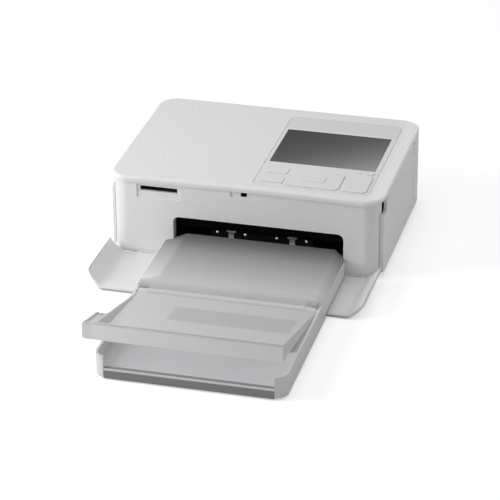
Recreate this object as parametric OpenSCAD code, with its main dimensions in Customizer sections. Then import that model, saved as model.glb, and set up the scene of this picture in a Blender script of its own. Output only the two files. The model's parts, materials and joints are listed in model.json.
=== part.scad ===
// Compact dye-sublimation photo printer with its paper cassette in place and its front cover down.
// Millimetres. X is to the right, Y runs from front to rear, Z is up. Z = 0 is the table.
// Inside the source Y = 0 is the front edge of the body; frame_shift moves the whole part so that
// its origin lies under the middle of its bounding box.

/* [Body] */
// Width of the body
body_w = 182.2; // [176:0.2:190]
// Depth of the body, front edge to rear wall
body_d = 133; // [130:0.5:140]
// Height of the top surface above the table
body_h = 57.6; // [56:0.2:64]
// Radius of the four upright corners
corner_r = 13; // [11:0.5:15]
// Radius of the rounded top edge
edge_r = 2.2; // [1:0.1:3]
// Wall thickness of the casing
wall = 2; // [1.6:0.1:2.4]
// Height of the casing's lower edge above the table
skirt_z = 3.6; // [3.4:0.1:4]
// Height of the top cover's rim
rim_h = 3.8; // [3.8:0.1:4.6]
// How far the front face stands back from the body's edge
front_recess = 2.6; // [2.5:0.1:2.8]
// Where the side walls begin behind the front edge
side_start = 9.3; // [9:0.1:10]
// Depth of the finger notches in the side walls' front edges
notch_d = 7.7; // [5:0.1:9]
// Height of the finger notches
notch_h = 10; // [6:0.5:12]

/* [Front opening and card slot] */
// Left edge of the cassette opening
mouth_x0 = -47.4; // [-48:0.1:-46]
// Right edge of the cassette opening
mouth_x1 = 65.9; // [65.5:0.1:66.4]
// Top of the cassette opening
mouth_top = 31; // [29:0.5:33]
// Corner radius of the cassette opening
mouth_r = 4; // [2:0.5:5]
// How deep the opening's frame reaches behind the front face
mouth_depth = 4.4; // [3:0.2:5]
// Centre of the memory card slot
card_x = -56.9; // [-57.5:0.1:-56]
// Width of the memory card slot
card_w = 25; // [24.5:0.1:25.5]
// Height of the memory card slot
card_h = 3.4; // [3:0.1:3.6]
// Depth of the middle of the card slot below the top of the body
card_z = 8.6; // [8:0.1:8.8]

/* [Front cover] */
// Thickness of the front cover
cover_t = 2.2; // [1.8:0.1:2.4]
// Height of the front cover's hinge axis
cover_axis_z = 1.5; // [1.4:0.1:1.6]
// Radius of the front cover's hinge knuckles
cover_knuckle_r = 1.2; // [1.1:0.05:1.3]
// How high the front cover's curved ends rise
cover_end_h = 11.4; // [9:0.2:12]
// Corner radius of the front cover's free corners
cover_corner_r = 12; // [6:1:14]

/* [Ink door] */
// Thickness of the ink door
door_t = 2.2; // [2:0.1:2.4]
// Distance from the body's front edge to the ink door's hinge axis
door_axis_y = 105.8; // [104:0.2:108]
// Radius of the ink door's hinge knuckles
door_knuckle_r = 1.3; // [1.2:0.05:1.4]
// Radius of the steel hinge pins
hinge_pin_r = 0.6; // [0.5:0.05:0.7]

/* [Control panel] */
// Left edge of the control panel
panel_x0 = 3.9; // [3:0.1:5]
// Right edge of the control panel
panel_x1 = 80.3; // [80:0.1:81]
// Front edge of the control panel
panel_y0 = 8; // [7.5:0.1:9]
// Rear edge of the control panel
panel_y1 = 119.2; // [117:0.2:121]
// Corner radius of the control panel
panel_r = 5.5; // [3:0.5:6]
// Thickness of the control panel
panel_t = 2.2; // [2:0.1:2.4]
// Width of the screen
screen_w = 70.5; // [68:0.1:71]
// Depth of the screen
screen_d = 52.7; // [51:0.1:54]
// Front edge of the screen
screen_y0 = 45.6; // [45:0.1:47]
// Travel of the keys
key_travel = 0.45; // [0.3:0.05:0.5]
// How far the keys stand above the panel
key_proud = 0.5; // [0.3:0.1:0.8]

/* [Paper cassette] */
// Middle of the cassette's wide part
tray_x = 8.3; // [8:0.1:9]
// Width of the cassette's wide part
tray_w = 119.2; // [118:0.2:121]
// Length of the cassette in front of the body
tray_out = 160; // [155:1:162]
// Length of the cassette inside the body
tray_in = 38; // [36:0.5:38.5]
// Height of the cassette's side walls above the table
tray_top = 15; // [14:0.2:15.5]
// Height of the cassette's flat inner cover above the table
plateau_z = 20; // [19:0.2:21]
// Wall thickness of the cassette
tray_wall = 1.4; // [1.2:0.1:1.6]
// Side clearance of the cassette in the opening
tray_gap = 1.1; // [0.8:0.1:1.3]
// Distance from the body's front edge to the output lid's hinge axis
lid_axis_y = -70; // [-72:0.5:-69]
// Height of the output lid's hinge axis
lid_axis_z = 12.6; // [12:0.1:13]
// Upward slope of the output lid's floor, in degrees
lid_slope = 8.4; // [7:0.2:9]
// Height of the output lid's front wall
lid_wall_h = 11; // [9:0.5:12]

/* [Print mechanism] */
// Radius of the platen roller
platen_r = 8; // [7:0.1:8]
// Radius of the capstan roller
capstan_r = 4; // [3.6:0.1:4]
// Radius of the pinch roller
pinch_r = 5.5; // [5:0.1:5.5]
// Radius of the pickup roller
pickup_r = 4.8; // [4.4:0.1:4.8]
// Radius of the roller shafts
shaft_r = 1.5; // [1.3:0.1:1.7]
// Tooth module of the gears
gear_m = 0.8; // [0.78:0.01:0.81]
// Teeth on the capstan gear
capstan_teeth = 32; // [31:1:33]
// Teeth on the idler gear
idler_teeth = 28; // [27:1:29]
// Teeth on the motor pinion
pinion_teeth = 14; // [14:1:15]
// Teeth on the take-up gear
takeup_teeth = 24; // [23:1:25]
// Width of the gears
gear_w = 3; // [2.6:0.1:3.2]
// Radius of the drive motor
motor_r = 10; // [9:0.1:10.2]
// Length of the drive motor
motor_l = 14; // [11:0.5:14]
// Radius of the ribbon wound on the supply spool
supply_wound_r = 6.2; // [5:0.1:6.3]
// Radius of the ribbon wound on the take-up spool
takeup_wound_r = 5.2; // [4.6:0.1:5.4]

/* [Hidden] */
$fn = 48;

// Clearances
running_gap = 0.05;  // between a turning shaft and its bore
seat_gap = 0.2;      // between pieces that sit beside each other
seam = 0.3;          // round doors and covers
eps = 0.01;          // overlap of a cut with the face it opens

// Body
half_w = body_w / 2;
rim_z = body_h - rim_h;
shell_top = rim_z - seat_gap;
front_y = front_recess;
front_inner_y = front_y + wall;
rear_inner_y = body_d - wall;
front_r = corner_r - front_recess;
plate_z1 = skirt_z - seat_gap;
front_z0 = plate_z1 - 0.4;
side_gap = 0.15;
plate_z0 = 1.6;
plate_inset = wall + 0.6;
notch_reach = 7;
frame_shift = (tray_out - body_d) / 2;

// Front cover, lying open
cover_axis_y = cover_knuckle_r;
cover_z0 = cover_axis_z - cover_knuckle_r;
cover_z1 = cover_z0 + cover_t;
cover_edge_y = cover_axis_y - (rim_z - seam - cover_axis_z);
cover_rear_y = cover_axis_y - 0.3;
cover_knuckle_l = 8;
cover_lug_l = 2.8;
hinge_side_gap = 0.2;
hinge_block_top = 4.4;
cover_end_w = corner_r - 3.2;
hinge_side_w = hinge_side_gap + cover_lug_l;
hinge_w = cover_knuckle_l + 2 * hinge_side_w;
hinge_xs = [-half_w + 19.1, half_w - cover_end_w - 0.4 - hinge_w];
cover_knuckle_xs = [for (x = hinge_xs) x + hinge_side_w];
catch_w = 3.6;
catch_h = 1.2;
catch_y = cover_edge_y + 1.4;

// Card slot
reader_z = body_h - card_z;

// Ink door
door_axis_x = half_w - door_knuckle_r;
door_y0 = side_start + seat_gap;
door_y1 = door_axis_y - 2;
door_z0 = skirt_z + seam;
door_z1 = shell_top - seat_gap;
shell_side_y = door_axis_y + door_knuckle_r + seam;
door_knuckles = [8, door_z1 - 10.4];
door_knuckle_l = 6;
door_lug_l = 2.8;

// Feet and frame screws
foot_x = half_w - 19.1;
foot_ys = [22, body_d - 21];
foot_r = 6;
foot_seat = 0.8;
flange_w = 8;
flange_l = 10;
flange_ys = [47, rear_inner_y - 11];
screw_r = 1.4;
screw_head_r = 2.4;

// Top cover and control panel
top_t = 3.4;
top_z0 = body_h - top_t;
panel_z0 = body_h - panel_t;
ledge = 1.6;
panel_gap = 0.25;
key_gap = 0.15;
screen_x0 = (panel_x0 + panel_x1 - screen_w) / 2 - 0.35;
screen_x1 = screen_x0 + screen_w;
screen_y1 = screen_y0 + screen_d;
glass_t = 1.2;
module_z1 = top_z0 - seat_gap;
module_t = 2.4;
board_z1 = top_z0 - 2.8;
board_t = 1;
block_w = 2.2;
block_inset = 0.4;
board_block_ys = [18, 36];
key_top = body_h + key_proud;
key_flange_z0 = top_z0;
key_flange_t = panel_z0 - top_z0 - seat_gap;
switch_top = key_flange_z0 - key_travel - 0.05;
key_y0 = 11.3;
key_y1 = 36.7;
ok_x = 41.4;
ok_w = 15;
ok_y0 = 20;
ok_y1 = 28;
pad_x0 = 23;
pad_x1 = 59.8;
print_x0 = 60.8;
print_x1 = 77.9;
menu_x0 = 6.6;
menu_x1 = 22.4;
small_key_d = 8.6;
back_y0 = key_y0 + 2.6;
flange_side = 0.2;
flange_end = 0.6;
power_x = 75.4;
power_y = 40.9;
power_r = 2.2;
light_x = 68;
light_r = 0.8;

// Paper cassette
mouth_x = (mouth_x0 + mouth_x1) / 2;
insert_w = mouth_x1 - mouth_x0 - 2 * tray_gap;
insert_x0 = mouth_x - insert_w / 2;
insert_x1 = mouth_x + insert_w / 2;
tray_x0 = tray_x - tray_w / 2;
tray_x1 = tray_x + tray_w / 2;
tray_y0 = -tray_out;
tray_neck_y = -2;
tray_step_y = -55;
tray_skirt_z = 1;
tray_floor_z0 = 4.6;
tray_floor_z1 = tray_floor_z0 + tray_wall;
tray_corner_r = 9;
strip_x0 = -44.3;
strip_x1 = 60.9;
strip_z0 = 0.5;
strip_z1 = 7.7;
strip_t = 1.6;
front_wall_top = 8.4;
cover_front_y = -66;
inner_cover_rear_y = 2.6;
shoulder_w = 13.3;
shoulder_right_w = 7;
lid_x0 = tray_x0 + tray_wall + 0.5;
lid_x1 = tray_x1 - tray_wall - 0.5;
lid_t = 1.5;
lid_length = (tray_out + lid_axis_y) / cos(lid_slope) - 0.4;
lid_start = 4;
lid_side_t = 1.3;
lid_knuckle_r = 1.7;
lid_knuckle_l = 3.6;
lid_ear_t = 2;
lid_knuckle_a = tray_x0 + tray_wall + lid_ear_t + seat_gap;
lid_knuckle_b = tray_x1 - tray_wall - lid_ear_t - seat_gap - lid_knuckle_l;
lid_pin_r = 0.8;
ear_w = 7;
ear_x = lid_x0 - ear_w;
ear_y = -lid_length + 26;
pad_w = 4;
paper_x0 = mouth_x - 50;
paper_x1 = mouth_x + 50;
paper_z0 = 7.4;
paper_z1 = 10.4;
paper_y0 = -112;
paper_y1 = tray_in - tray_wall - 0.6;
lift_z0 = tray_floor_z1 + 0.2;
lift_t = 1;

// Print mechanism, in the Y-Z plane
bracket_x = -half_w + 23.1;
left_plate_x = bracket_x + 6;
right_plate_x = mouth_x1 + 4.9;
frame_t = 1.2;
frame_y1 = rear_inner_y - 5;
frame_top = top_z0 - 4;
plate_step_z = frame_top - 4.2;
flange_xs = [left_plate_x + flange_w / 2, right_plate_x - flange_w / 2];
gear_x0 = bracket_x + 0.8;
capstan_y = 54;
capstan_z = 20;
paper_gap = 0.15;
pinch_z = capstan_z + capstan_r + pinch_r + paper_gap;
platen_y = 82;
platen_z = capstan_z + capstan_r - platen_r;
idler_y = capstan_y - gear_m * (capstan_teeth + idler_teeth) / 2;
idler_z = capstan_z;
pinion_angle = 135;
pinion_c = gear_m * (idler_teeth + pinion_teeth) / 2;
pinion_y = idler_y + pinion_c * cos(pinion_angle);
pinion_z = idler_z + pinion_c * sin(pinion_angle);
takeup_c = gear_m * (capstan_teeth + takeup_teeth) / 2;
takeup_lean = 2;
housing_gap = 0.7;
housing_t = 0.8;
takeup_room = frame_top - capstan_z - takeup_wound_r - housing_gap - housing_t - 1;
takeup_rise = min(sqrt(takeup_c * takeup_c - takeup_lean * takeup_lean), takeup_room);
takeup_y = capstan_y + sqrt(takeup_c * takeup_c - takeup_rise * takeup_rise);
takeup_z = capstan_z + takeup_rise;
supply_y = 103.5;
supply_z = 34.5;
journal_r = 3;
spindle_r = 1.8;
end_plate_x0 = left_plate_x + 5;
end_plate_x1 = right_plate_x - 4.8;
end_plate_t = 2;
takeup_housing_r = takeup_wound_r + housing_gap + housing_t;
supply_housing_r = supply_wound_r + housing_gap + housing_t;
head_y0 = 76;
head_y1 = 88;
head_z0 = platen_z + platen_r + 0.4;
head_bar_h = 3.6;
head_top = frame_top - 8.2;
head_x0 = mouth_x - 55;
head_x1 = mouth_x + 55;
arm_y = rear_inner_y - 13;
arm_z = frame_top - 3.7;
arm_t = 1.5;
arm_gap = 1;
ribbon_t = 0.12;

// Rear wall fittings
board_x = -half_w + 11.1;
board_back_t = 1.6;
inlet_x = board_x + 6;
inlet_z = 17;
inlet_r = 3.2;
usb_z = 33;
usb_w = 9;
usb_t = 3.2;
slot_z0 = 20.5;
slot_z1 = 26.5;
fan_x0 = left_plate_x + 5;
fan_size = top_z0 - slot_z1 - 2.7;
fan_z0 = slot_z1 + 1;
fan_t = 6;
fan_x = fan_x0 + fan_size / 2;
fan_z = fan_z0 + fan_size / 2;
slot_x0 = paper_x0 - 4;
slot_x1 = paper_x1 + 4;

// Colours
shell_white = [0.93, 0.93, 0.94];
panel_grey = [0.86, 0.86, 0.88];
smoke_grey = [0.62, 0.63, 0.66];
dark_plastic = [0.12, 0.12, 0.14];
steel = [0.75, 0.76, 0.78];
gear_white = [0.92, 0.91, 0.86];
board_green = [0.1, 0.35, 0.2];

// ---------------------------------------------------------------- shared shapes

// Puts the part's origin under the middle of its bounding box
module placed() {
  translate([0, frame_shift, 0]) children();
}

// Rounded rectangle between two corners
module round_rect(x0, y0, x1, y1, r) {
  translate([x0 + r, y0]) square([x1 - x0 - 2 * r, y1 - y0]);
  translate([x0, y0 + r]) square([x1 - x0, y1 - y0 - 2 * r]);
  for (x = [x0 + r, x1 - r], y = [y0 + r, y1 - r]) translate([x, y]) circle(r);
}

// Outline of the body, moved inwards by a distance
module body_outline(inset = 0) {
  round_rect(-half_w + inset, inset, half_w - inset, body_d - inset, corner_r - inset);
}

// Box between two corners
module box(a, b) {
  translate(a) cube([b[0] - a[0], b[1] - a[1], b[2] - a[2]]);
}

// Round bar along X
module bar_x(x0, x1, y, z, r) {
  translate([x0, y, z]) rotate([0, 90, 0]) cylinder(h = x1 - x0, r = r);
}

// Round bar along Y
module bar_y(y0, y1, x, z, r) {
  translate([x, y1, z]) rotate([90, 0, 0]) cylinder(h = y1 - y0, r = r);
}

// Round bar along Z
module bar_z(z0, z1, x, y, r) {
  translate([x, y, z0]) cylinder(h = z1 - z0, r = r);
}

// Extrudes a shape drawn in the Y-Z plane along X
module along_x(x0, x1) {
  translate([x0, 0, 0]) rotate([90, 0, 90]) linear_extrude(x1 - x0) children();
}

// Extrudes a shape drawn in the X-Z plane along Y
module along_y(y0, y1) {
  translate([0, y1, 0]) rotate([90, 0, 0]) linear_extrude(y1 - y0) children();
}

// ---------------------------------------------------------------- casing

module base_tray() placed() color(dark_plastic) {
  difference() {
    translate([0, 0, plate_z0]) linear_extrude(plate_z1 - plate_z0) body_outline(plate_inset);
    box([-half_w, -1, 0], [half_w, front_inner_y + seat_gap, body_h]);
    for (x = [-foot_x, foot_x], y = foot_ys) bar_z(0, plate_z0 + foot_seat, x, y, foot_r + 0.02);
    for (x = flange_xs, y = flange_ys) bar_z(0, plate_z1 + 1, x, y, screw_r + running_gap);
  }
  // Guides at both sides of the cassette, its end stop and the ribs that it slides on
  for (x = [insert_x0 - 1.6, insert_x1 + 0.4]) box([x, 12, plate_z1], [x + 1.2, tray_in + 2, 8]);
  box([insert_x0 - 0.4, tray_in + 0.8, plate_z1], [insert_x1 + 0.4, tray_in + 2, 10]);
  for (x = [-30, 8, 46]) box([x, 6, plate_z1], [x + 2, tray_in, tray_floor_z0 - seat_gap]);
  // Hinges of the front cover: a block in the front panel's lower edge with two lugs each
  for (x = hinge_xs)
    box([x, front_y, plate_z0], [x + hinge_w, front_inner_y + 1, hinge_block_top]);
  for (x = cover_lug_xs) cover_lug(x);
}

module rubber_feet() placed() color("dimgray")
  for (x = [-foot_x, foot_x], y = foot_ys) bar_z(0, plate_z0 + foot_seat, x, y, foot_r);

// Left ends of the ears of the front cover's hinges
cover_lug_xs = [for (x = hinge_xs) each [x, x + hinge_w - cover_lug_l]];

// One ear of the front cover's hinge, carried by the base
module cover_lug(x0) {
  difference() {
    union() {
      bar_x(x0, x0 + cover_lug_l, cover_axis_y, cover_axis_z, cover_knuckle_r);
      box([x0, cover_axis_y, plate_z0], [x0 + cover_lug_l, front_y + eps, cover_axis_z + cover_knuckle_r]);
    }
    bar_x(x0 - 1, x0 + cover_lug_l + 1, cover_axis_y, cover_axis_z, hinge_pin_r + eps);
  }
}

// Left wall, as far back as the ink door on the right
module left_cover() placed() color(shell_white) difference() {
  wall_ring() translate([-half_w - 1, side_start])
    square([corner_r + 1, shell_side_y - seat_gap - side_start]);
  // Finger notch at the front edge
  along_x(-half_w - 1, -half_w + notch_reach) finger_notch();
}

// Rear wall with both rear corners; its right side carries the ink door's hinge
module rear_cover() placed() color(shell_white) {
  difference() {
    wall_ring() translate([-half_w - 1, shell_side_y]) square(body_w + 2);
    along_y(rear_inner_y - 1, body_d + 1) round_rect(slot_x0, slot_z0, slot_x1, slot_z1, 1.5);
    bar_y(rear_inner_y - 1, body_d + 1, inlet_x, inlet_z, inlet_r);
    along_y(rear_inner_y - 1, body_d + 1) usb_outline(0.3);
    // Vents of the fan
    for (k = [0:1:fan_size / 3 - 1]) box([fan_x0 + 1.5 + k * 3, rear_inner_y - 1, fan_z0 + 2],
      [fan_x0 + 3 + k * 3, body_d + 1, fan_z0 + fan_size - 2]);
    // Vents at the right
    for (k = [0:5]) box([half_w - 27.1, rear_inner_y - 1, 22 + k * 4],
      [half_w - 15.1, body_d + 1, 23.6 + k * 4]);
  }
  for (z = door_knuckles, end = [0, 1]) door_lug(z, end);
}

// The part of the body's walls that lies inside an outline
module wall_ring() {
  translate([0, 0, skirt_z]) linear_extrude(shell_top - skirt_z) intersection() {
    difference() {
      body_outline();
      body_outline(wall);
    }
    children();
  }
}

// Rounded notch in the Y-Z plane, open towards the front and the top
module finger_notch() {
  z0 = rim_z + 1.2 - notch_h;
  r = 2.5;
  translate([side_start - 5, z0]) square([notch_d + 5 - r, notch_h]);
  translate([side_start - 5, z0 + r]) square([notch_d + 5, notch_h - r]);
  translate([side_start + notch_d - r, z0 + r]) circle(r);
}

// Outline of the upright USB socket in the X-Z plane
module usb_outline(grow = 0) {
  x0 = board_x + board_back_t + 0.1;
  round_rect(x0 - grow, usb_z - usb_w / 2 - grow, x0 + usb_t + grow, usb_z + usb_w / 2 + grow,
    usb_t / 2 + grow - eps);
}

// One ear of the ink door's hinge, carried by the rear part of the shell
module door_lug(z, end) {
  z0 = end == 0 ? z - hinge_side_gap - door_lug_l : z + door_knuckle_l + hinge_side_gap;
  difference() {
    union() {
      bar_z(z0, z0 + door_lug_l, door_axis_x, door_axis_y, door_knuckle_r);
      box([door_axis_x - door_knuckle_r, door_axis_y, z0],
        [door_axis_x + door_knuckle_r, shell_side_y + 1, z0 + door_lug_l]);
    }
    bar_z(z0 - 1, z0 + door_lug_l + 1, door_axis_x, door_axis_y, hinge_pin_r + eps);
  }
}

// Body-shaped block with a rounded top edge, made of bars along the edge and rings at the corners
module rounded_top(z0, z1) {
  edge_z = z1 - edge_r;
  difference() {
    union() {
      translate([0, 0, z0]) linear_extrude(edge_z - z0) body_outline();
      translate([0, 0, edge_z - 1]) linear_extrude(edge_r + 1) body_outline(edge_r);
      for (x = [-half_w + edge_r, half_w - edge_r])
        bar_y(corner_r, body_d - corner_r, x, edge_z, edge_r);
      for (y = [edge_r, body_d - edge_r])
        bar_x(-half_w + corner_r, half_w - corner_r, y, edge_z, edge_r);
      for (x = [-half_w + corner_r, half_w - corner_r], y = [corner_r, body_d - corner_r])
        translate([x, y, edge_z]) rotate_extrude() translate([corner_r - edge_r, 0]) circle(edge_r);
    }
    box([-half_w - 1, -1, z0 - 2 * edge_r], [half_w + 1, body_d + 1, z0]);
  }
}

module top_cover() placed() color(shell_white) {
  difference() {
    rounded_top(rim_z, body_h);
    // Hollow under the plate
    translate([0, 0, rim_z - 1]) linear_extrude(top_z0 - rim_z + 1) body_outline(wall);
    // Pocket and opening of the control panel
    translate([0, 0, panel_z0]) linear_extrude(panel_t + 1)
      round_rect(panel_x0 - panel_gap, panel_y0 - panel_gap, panel_x1 + panel_gap,
        panel_y1 + panel_gap, panel_r + panel_gap);
    translate([0, 0, top_z0 - 1]) linear_extrude(top_t) panel_opening();
    // Finger notches
    along_x(-half_w - 1, -half_w + notch_reach) finger_notch();
    along_x(half_w - notch_reach, half_w + 1) finger_notch();
  }
  // Blocks that carry the control board
  for (x = [panel_x0 + block_inset, panel_x1 - block_inset], y = board_block_ys)
    box([x - block_w / 2, y, board_z1], [x + block_w / 2, y + block_w, top_z0 + 0.3]);
}

// Opening inside the ledge that the control panel rests on
module panel_opening() {
  round_rect(panel_x0 + ledge, panel_y0 + ledge, panel_x1 - ledge, panel_y1 - ledge, panel_r - ledge);
}

// Arch of the cassette opening in the X-Z plane
module mouth_shape(grow = 0) {
  translate([mouth_x0 - grow, 0]) square([mouth_x1 - mouth_x0 + 2 * grow, mouth_top - mouth_r]);
  translate([mouth_x0 + mouth_r, 0])
    square([mouth_x1 - mouth_x0 - 2 * mouth_r, mouth_top + grow]);
  for (x = [mouth_x0 + mouth_r, mouth_x1 - mouth_r])
    translate([x, mouth_top - mouth_r]) circle(mouth_r + grow);
}

// Outline of the front panel between the side walls, moved inwards by a distance
module front_outline(inset = 0) {
  round_rect(-half_w + wall + side_gap + inset, front_recess + inset, half_w - door_t - seam - inset,
    body_d, front_r - inset);
}

module front_panel() placed() color(shell_white) {
  difference() {
    union() {
      translate([0, 0, front_z0]) linear_extrude(shell_top - front_z0) intersection() {
        difference() {
          front_outline();
          front_outline(wall);
        }
        translate([-half_w, 0]) square([body_w, side_start + 2.7]);
      }
      // Frame round the cassette opening
      along_y(front_inner_y - eps, front_y + mouth_depth + wall) intersection() {
        mouth_shape(wall);
        translate([-half_w, skirt_z + seat_gap]) square([body_w, body_h]);
      }
    }
    along_y(0, side_start + 5) mouth_shape();
    // Room for the base behind the front wall
    box([-half_w, front_inner_y, 0], [half_w, side_start + 5, skirt_z + seat_gap]);
    // Notches for the front cover's hinges
    for (x = hinge_xs) box([x - seat_gap, 0, 0],
      [x + hinge_w + seat_gap, front_inner_y + 1, hinge_block_top + seat_gap]);
    // Sunken frame and slot of the memory card
    along_y(front_y - 1, front_y + 0.7)
      round_rect(card_x - 14.8, reader_z - 6.5, card_x + 14.8, reader_z + 2.8, 1);
    box([card_x - card_w / 2, 0, reader_z - card_h / 2], [card_x + card_w / 2, 8, reader_z + card_h / 2]);
    // Catch of the front cover
    along_y(front_y - 1, front_y + 0.7) round_rect(-9, shell_top - 4.2, 9, shell_top + 2, 1.6);
    box([-2.1, 0, shell_top - 3.6], [2.1, 8, shell_top + 1]);
  }
}

// Inner wall behind the ink door, with the window that the ribbon cassette goes through
module ribbon_bay() placed() color(panel_grey) {
  x0 = right_plate_x + frame_t + 3;
  difference() {
    box([x0, 12.5, plate_z1], [x0 + 1.5, frame_y1, frame_top]);
    along_x(x0 - 1, x0 + 3) cassette_window(0.6);
  }
  // Stiffening ribs above and below the window
  for (z = [10, 20]) box([x0 + 1.5, 44, z], [x0 + 2.7, arm_y, z + 1.2]);
}

// Window of the ribbon cassette in the Y-Z plane
module cassette_window(grow = 0) {
  y0 = takeup_y - takeup_housing_r - 0.5;
  y1 = supply_y + supply_housing_r + 0.5;
  z_low = supply_z - supply_housing_r - 0.5;
  z_high = takeup_z + takeup_housing_r + 0.5;
  z_step = takeup_z - takeup_housing_r - 0.4;
  polygon([
    [y0 - grow, z_step], [takeup_y + 8, z_step], [takeup_y + 10, z_low - grow],
    [y1 + grow, z_low - grow], [y1 + grow, z_high], [y0 - grow, z_high]
  ]);
}

module ink_door() placed() color(shell_white) {
  difference() {
    translate([0, 0, door_z0]) linear_extrude(door_z1 - door_z0) intersection() {
      difference() {
        body_outline();
        body_outline(door_t);
      }
      translate([half_w - corner_r - 1, door_y0]) square([corner_r + 2, door_y1 - door_y0]);
    }
    along_x(half_w - notch_reach, half_w + 1) finger_notch();
  }
  // Inner ribs
  for (z = [14, 40]) box([half_w - door_t - 1.6, 22, z], [half_w - door_t + eps, 98, z + 1.4]);
  // Hinge knuckles
  for (z = door_knuckles) difference() {
    union() {
      bar_z(z, z + door_knuckle_l, door_axis_x, door_axis_y, door_knuckle_r);
      box([half_w - door_t, door_y1 - 1, z], [half_w, door_axis_y, z + door_knuckle_l]);
    }
    bar_z(z - 1, z + door_knuckle_l + 1, door_axis_x, door_axis_y, hinge_pin_r + running_gap);
  }
}

module ink_door_pins() placed() color(steel)
  for (z = door_knuckles)
    bar_z(z - door_lug_l, z + door_knuckle_l + door_lug_l, door_axis_x, door_axis_y, hinge_pin_r);

// Cross-section of the front cover in the X-Z plane: flat, with ends that curve up
module cover_section(z_top) {
  intersection() {
    difference() {
      round_rect(-half_w, cover_z0, half_w, 60, corner_r);
      round_rect(-half_w + cover_t, cover_z1, half_w - cover_t, 60, corner_r - cover_t);
    }
    translate([-half_w, 0]) square([body_w, z_top]);
  }
}

module front_cover() placed() color(shell_white) {
  end_rear_y = cover_axis_y + cover_knuckle_r;
  intersection() {
    union() {
      difference() {
        along_y(cover_edge_y, cover_rear_y) cover_section(cover_end_h);
        for (x = cover_lug_xs) lug_space(x);
        for (x = cover_knuckle_xs) knuckle_bore(x);
      }
      along_y(cover_rear_y - eps, end_rear_y) difference() {
        cover_section(cover_end_h);
        translate([-half_w + cover_end_w, 0]) square([body_w - 2 * cover_end_w, cover_end_h]);
      }
    }
    // Rounded free corners
    linear_extrude(20) round_rect(-half_w, cover_edge_y, half_w, 40, cover_corner_r);
  }
  // Catch that snaps into the front panel
  box([-catch_w / 2, catch_y, cover_z1 - eps], [catch_w / 2, catch_y + 1.6, cover_z1 + catch_h]);
  // Hinge knuckles
  for (x = cover_knuckle_xs) cover_knuckle(x);
}

// Room for one of the base's lugs in the front cover's rear edge
module lug_space(x)
  box([x - hinge_side_gap, cover_axis_y - cover_knuckle_r - hinge_side_gap, -1],
    [x + cover_lug_l + hinge_side_gap, cover_axis_y, cover_z1 + 1]);

module cover_knuckle(x0) {
  difference() {
    union() {
      bar_x(x0, x0 + cover_knuckle_l, cover_axis_y, cover_axis_z, cover_knuckle_r);
      box([x0, cover_rear_y - 1, cover_z0], [x0 + cover_knuckle_l, cover_axis_y, cover_z1]);
    }
    knuckle_bore(x0);
  }
}

module knuckle_bore(x0)
  bar_x(x0 - 1, x0 + cover_knuckle_l + 1, cover_axis_y, cover_axis_z, hinge_pin_r + running_gap);

module front_cover_pins() placed() color(steel)
  for (x = cover_knuckle_xs)
    bar_x(x - cover_lug_l, x + cover_knuckle_l + cover_lug_l, cover_axis_y, cover_axis_z, hinge_pin_r);

// ---------------------------------------------------------------- display and keys

module control_panel() placed() color(panel_grey) {
  difference() {
    translate([0, 0, panel_z0]) linear_extrude(panel_t) difference() {
      round_rect(panel_x0, panel_y0, panel_x1, panel_y1, panel_r);
      round_rect(screen_x0 - key_gap, screen_y0 - key_gap, screen_x1 + key_gap,
        screen_y1 + key_gap, 0.8);
      menu_shape(key_gap, key_gap);
      back_shape(key_gap, key_gap);
      pad_shape(key_gap, key_gap);
      print_shape(key_gap, key_gap);
      translate([power_x, power_y]) circle(power_r + key_gap);
      translate([light_x, power_y]) circle(light_r + 0.05);
    }
  }
}

// Outline of a key, grown sideways and from front to rear
module key_shape(x0, y0, x1, y1, r, grow_x, grow_y)
  round_rect(x0 - grow_x, y0 - grow_y, x1 + grow_x, y1 + grow_y, r);

module menu_shape(grow_x = 0, grow_y = 0)
  key_shape(menu_x0, key_y1 - small_key_d, menu_x1, key_y1, 1.6, grow_x, grow_y);

module back_shape(grow_x = 0, grow_y = 0)
  key_shape(menu_x0, back_y0, menu_x1, back_y0 + small_key_d, 1.6, grow_x, grow_y);

module pad_shape(grow_x = 0, grow_y = 0)
  key_shape(pad_x0, key_y0, pad_x1, key_y1, 4, grow_x, grow_y);

module ok_shape(grow_x = 0, grow_y = 0)
  key_shape(ok_x - ok_w / 2, ok_y0, ok_x + ok_w / 2, ok_y1, 2, grow_x, grow_y);

module print_shape(grow_x = 0, grow_y = 0)
  key_shape(print_x0, key_y0, print_x1, key_y1, 3, grow_x, grow_y);

// A key: its cap and, from a second outline, the flange that keeps it under the panel
module key_body(height = key_top) {
  translate([0, 0, key_flange_z0 + eps]) linear_extrude(height - key_flange_z0 - eps) children(0);
  translate([0, 0, key_flange_z0]) linear_extrude(key_flange_t) children(1);
}

module display_glass() placed() color("black")
  box([screen_x0, screen_y0, body_h - glass_t], [screen_x1, screen_y1, body_h]);

module display_module() placed() color("silver") {
  box([screen_x0 - 3, screen_y0 - 1.4, module_z1 - module_t],
    [screen_x1 + 2.4, screen_y1 + 4, module_z1]);
  box([screen_x0 + 0.4, screen_y0 + 0.4, module_z1 - eps],
    [screen_x1 - 0.4, screen_y1 - 0.4, body_h - glass_t]);
}

module control_board() placed() color(board_green)
  box([panel_x0 + 0.1, 9.5, board_z1 - board_t], [panel_x1 + 0.2, screen_y0 - 2, board_z1]);

switch_places = [
  [(menu_x0 + menu_x1) / 2, key_y1 - small_key_d / 2],
  [(menu_x0 + menu_x1) / 2, back_y0 + small_key_d / 2],
  [power_x, power_y],
  [ok_x, (ok_y0 + ok_y1) / 2],
  [ok_x, key_y0 + 4], [ok_x, key_y1 - 4], [pad_x0 + 5, 24], [pad_x1 - 5, 24],
  [(print_x0 + print_x1) / 2, (key_y0 + key_y1) / 2]
];

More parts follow.
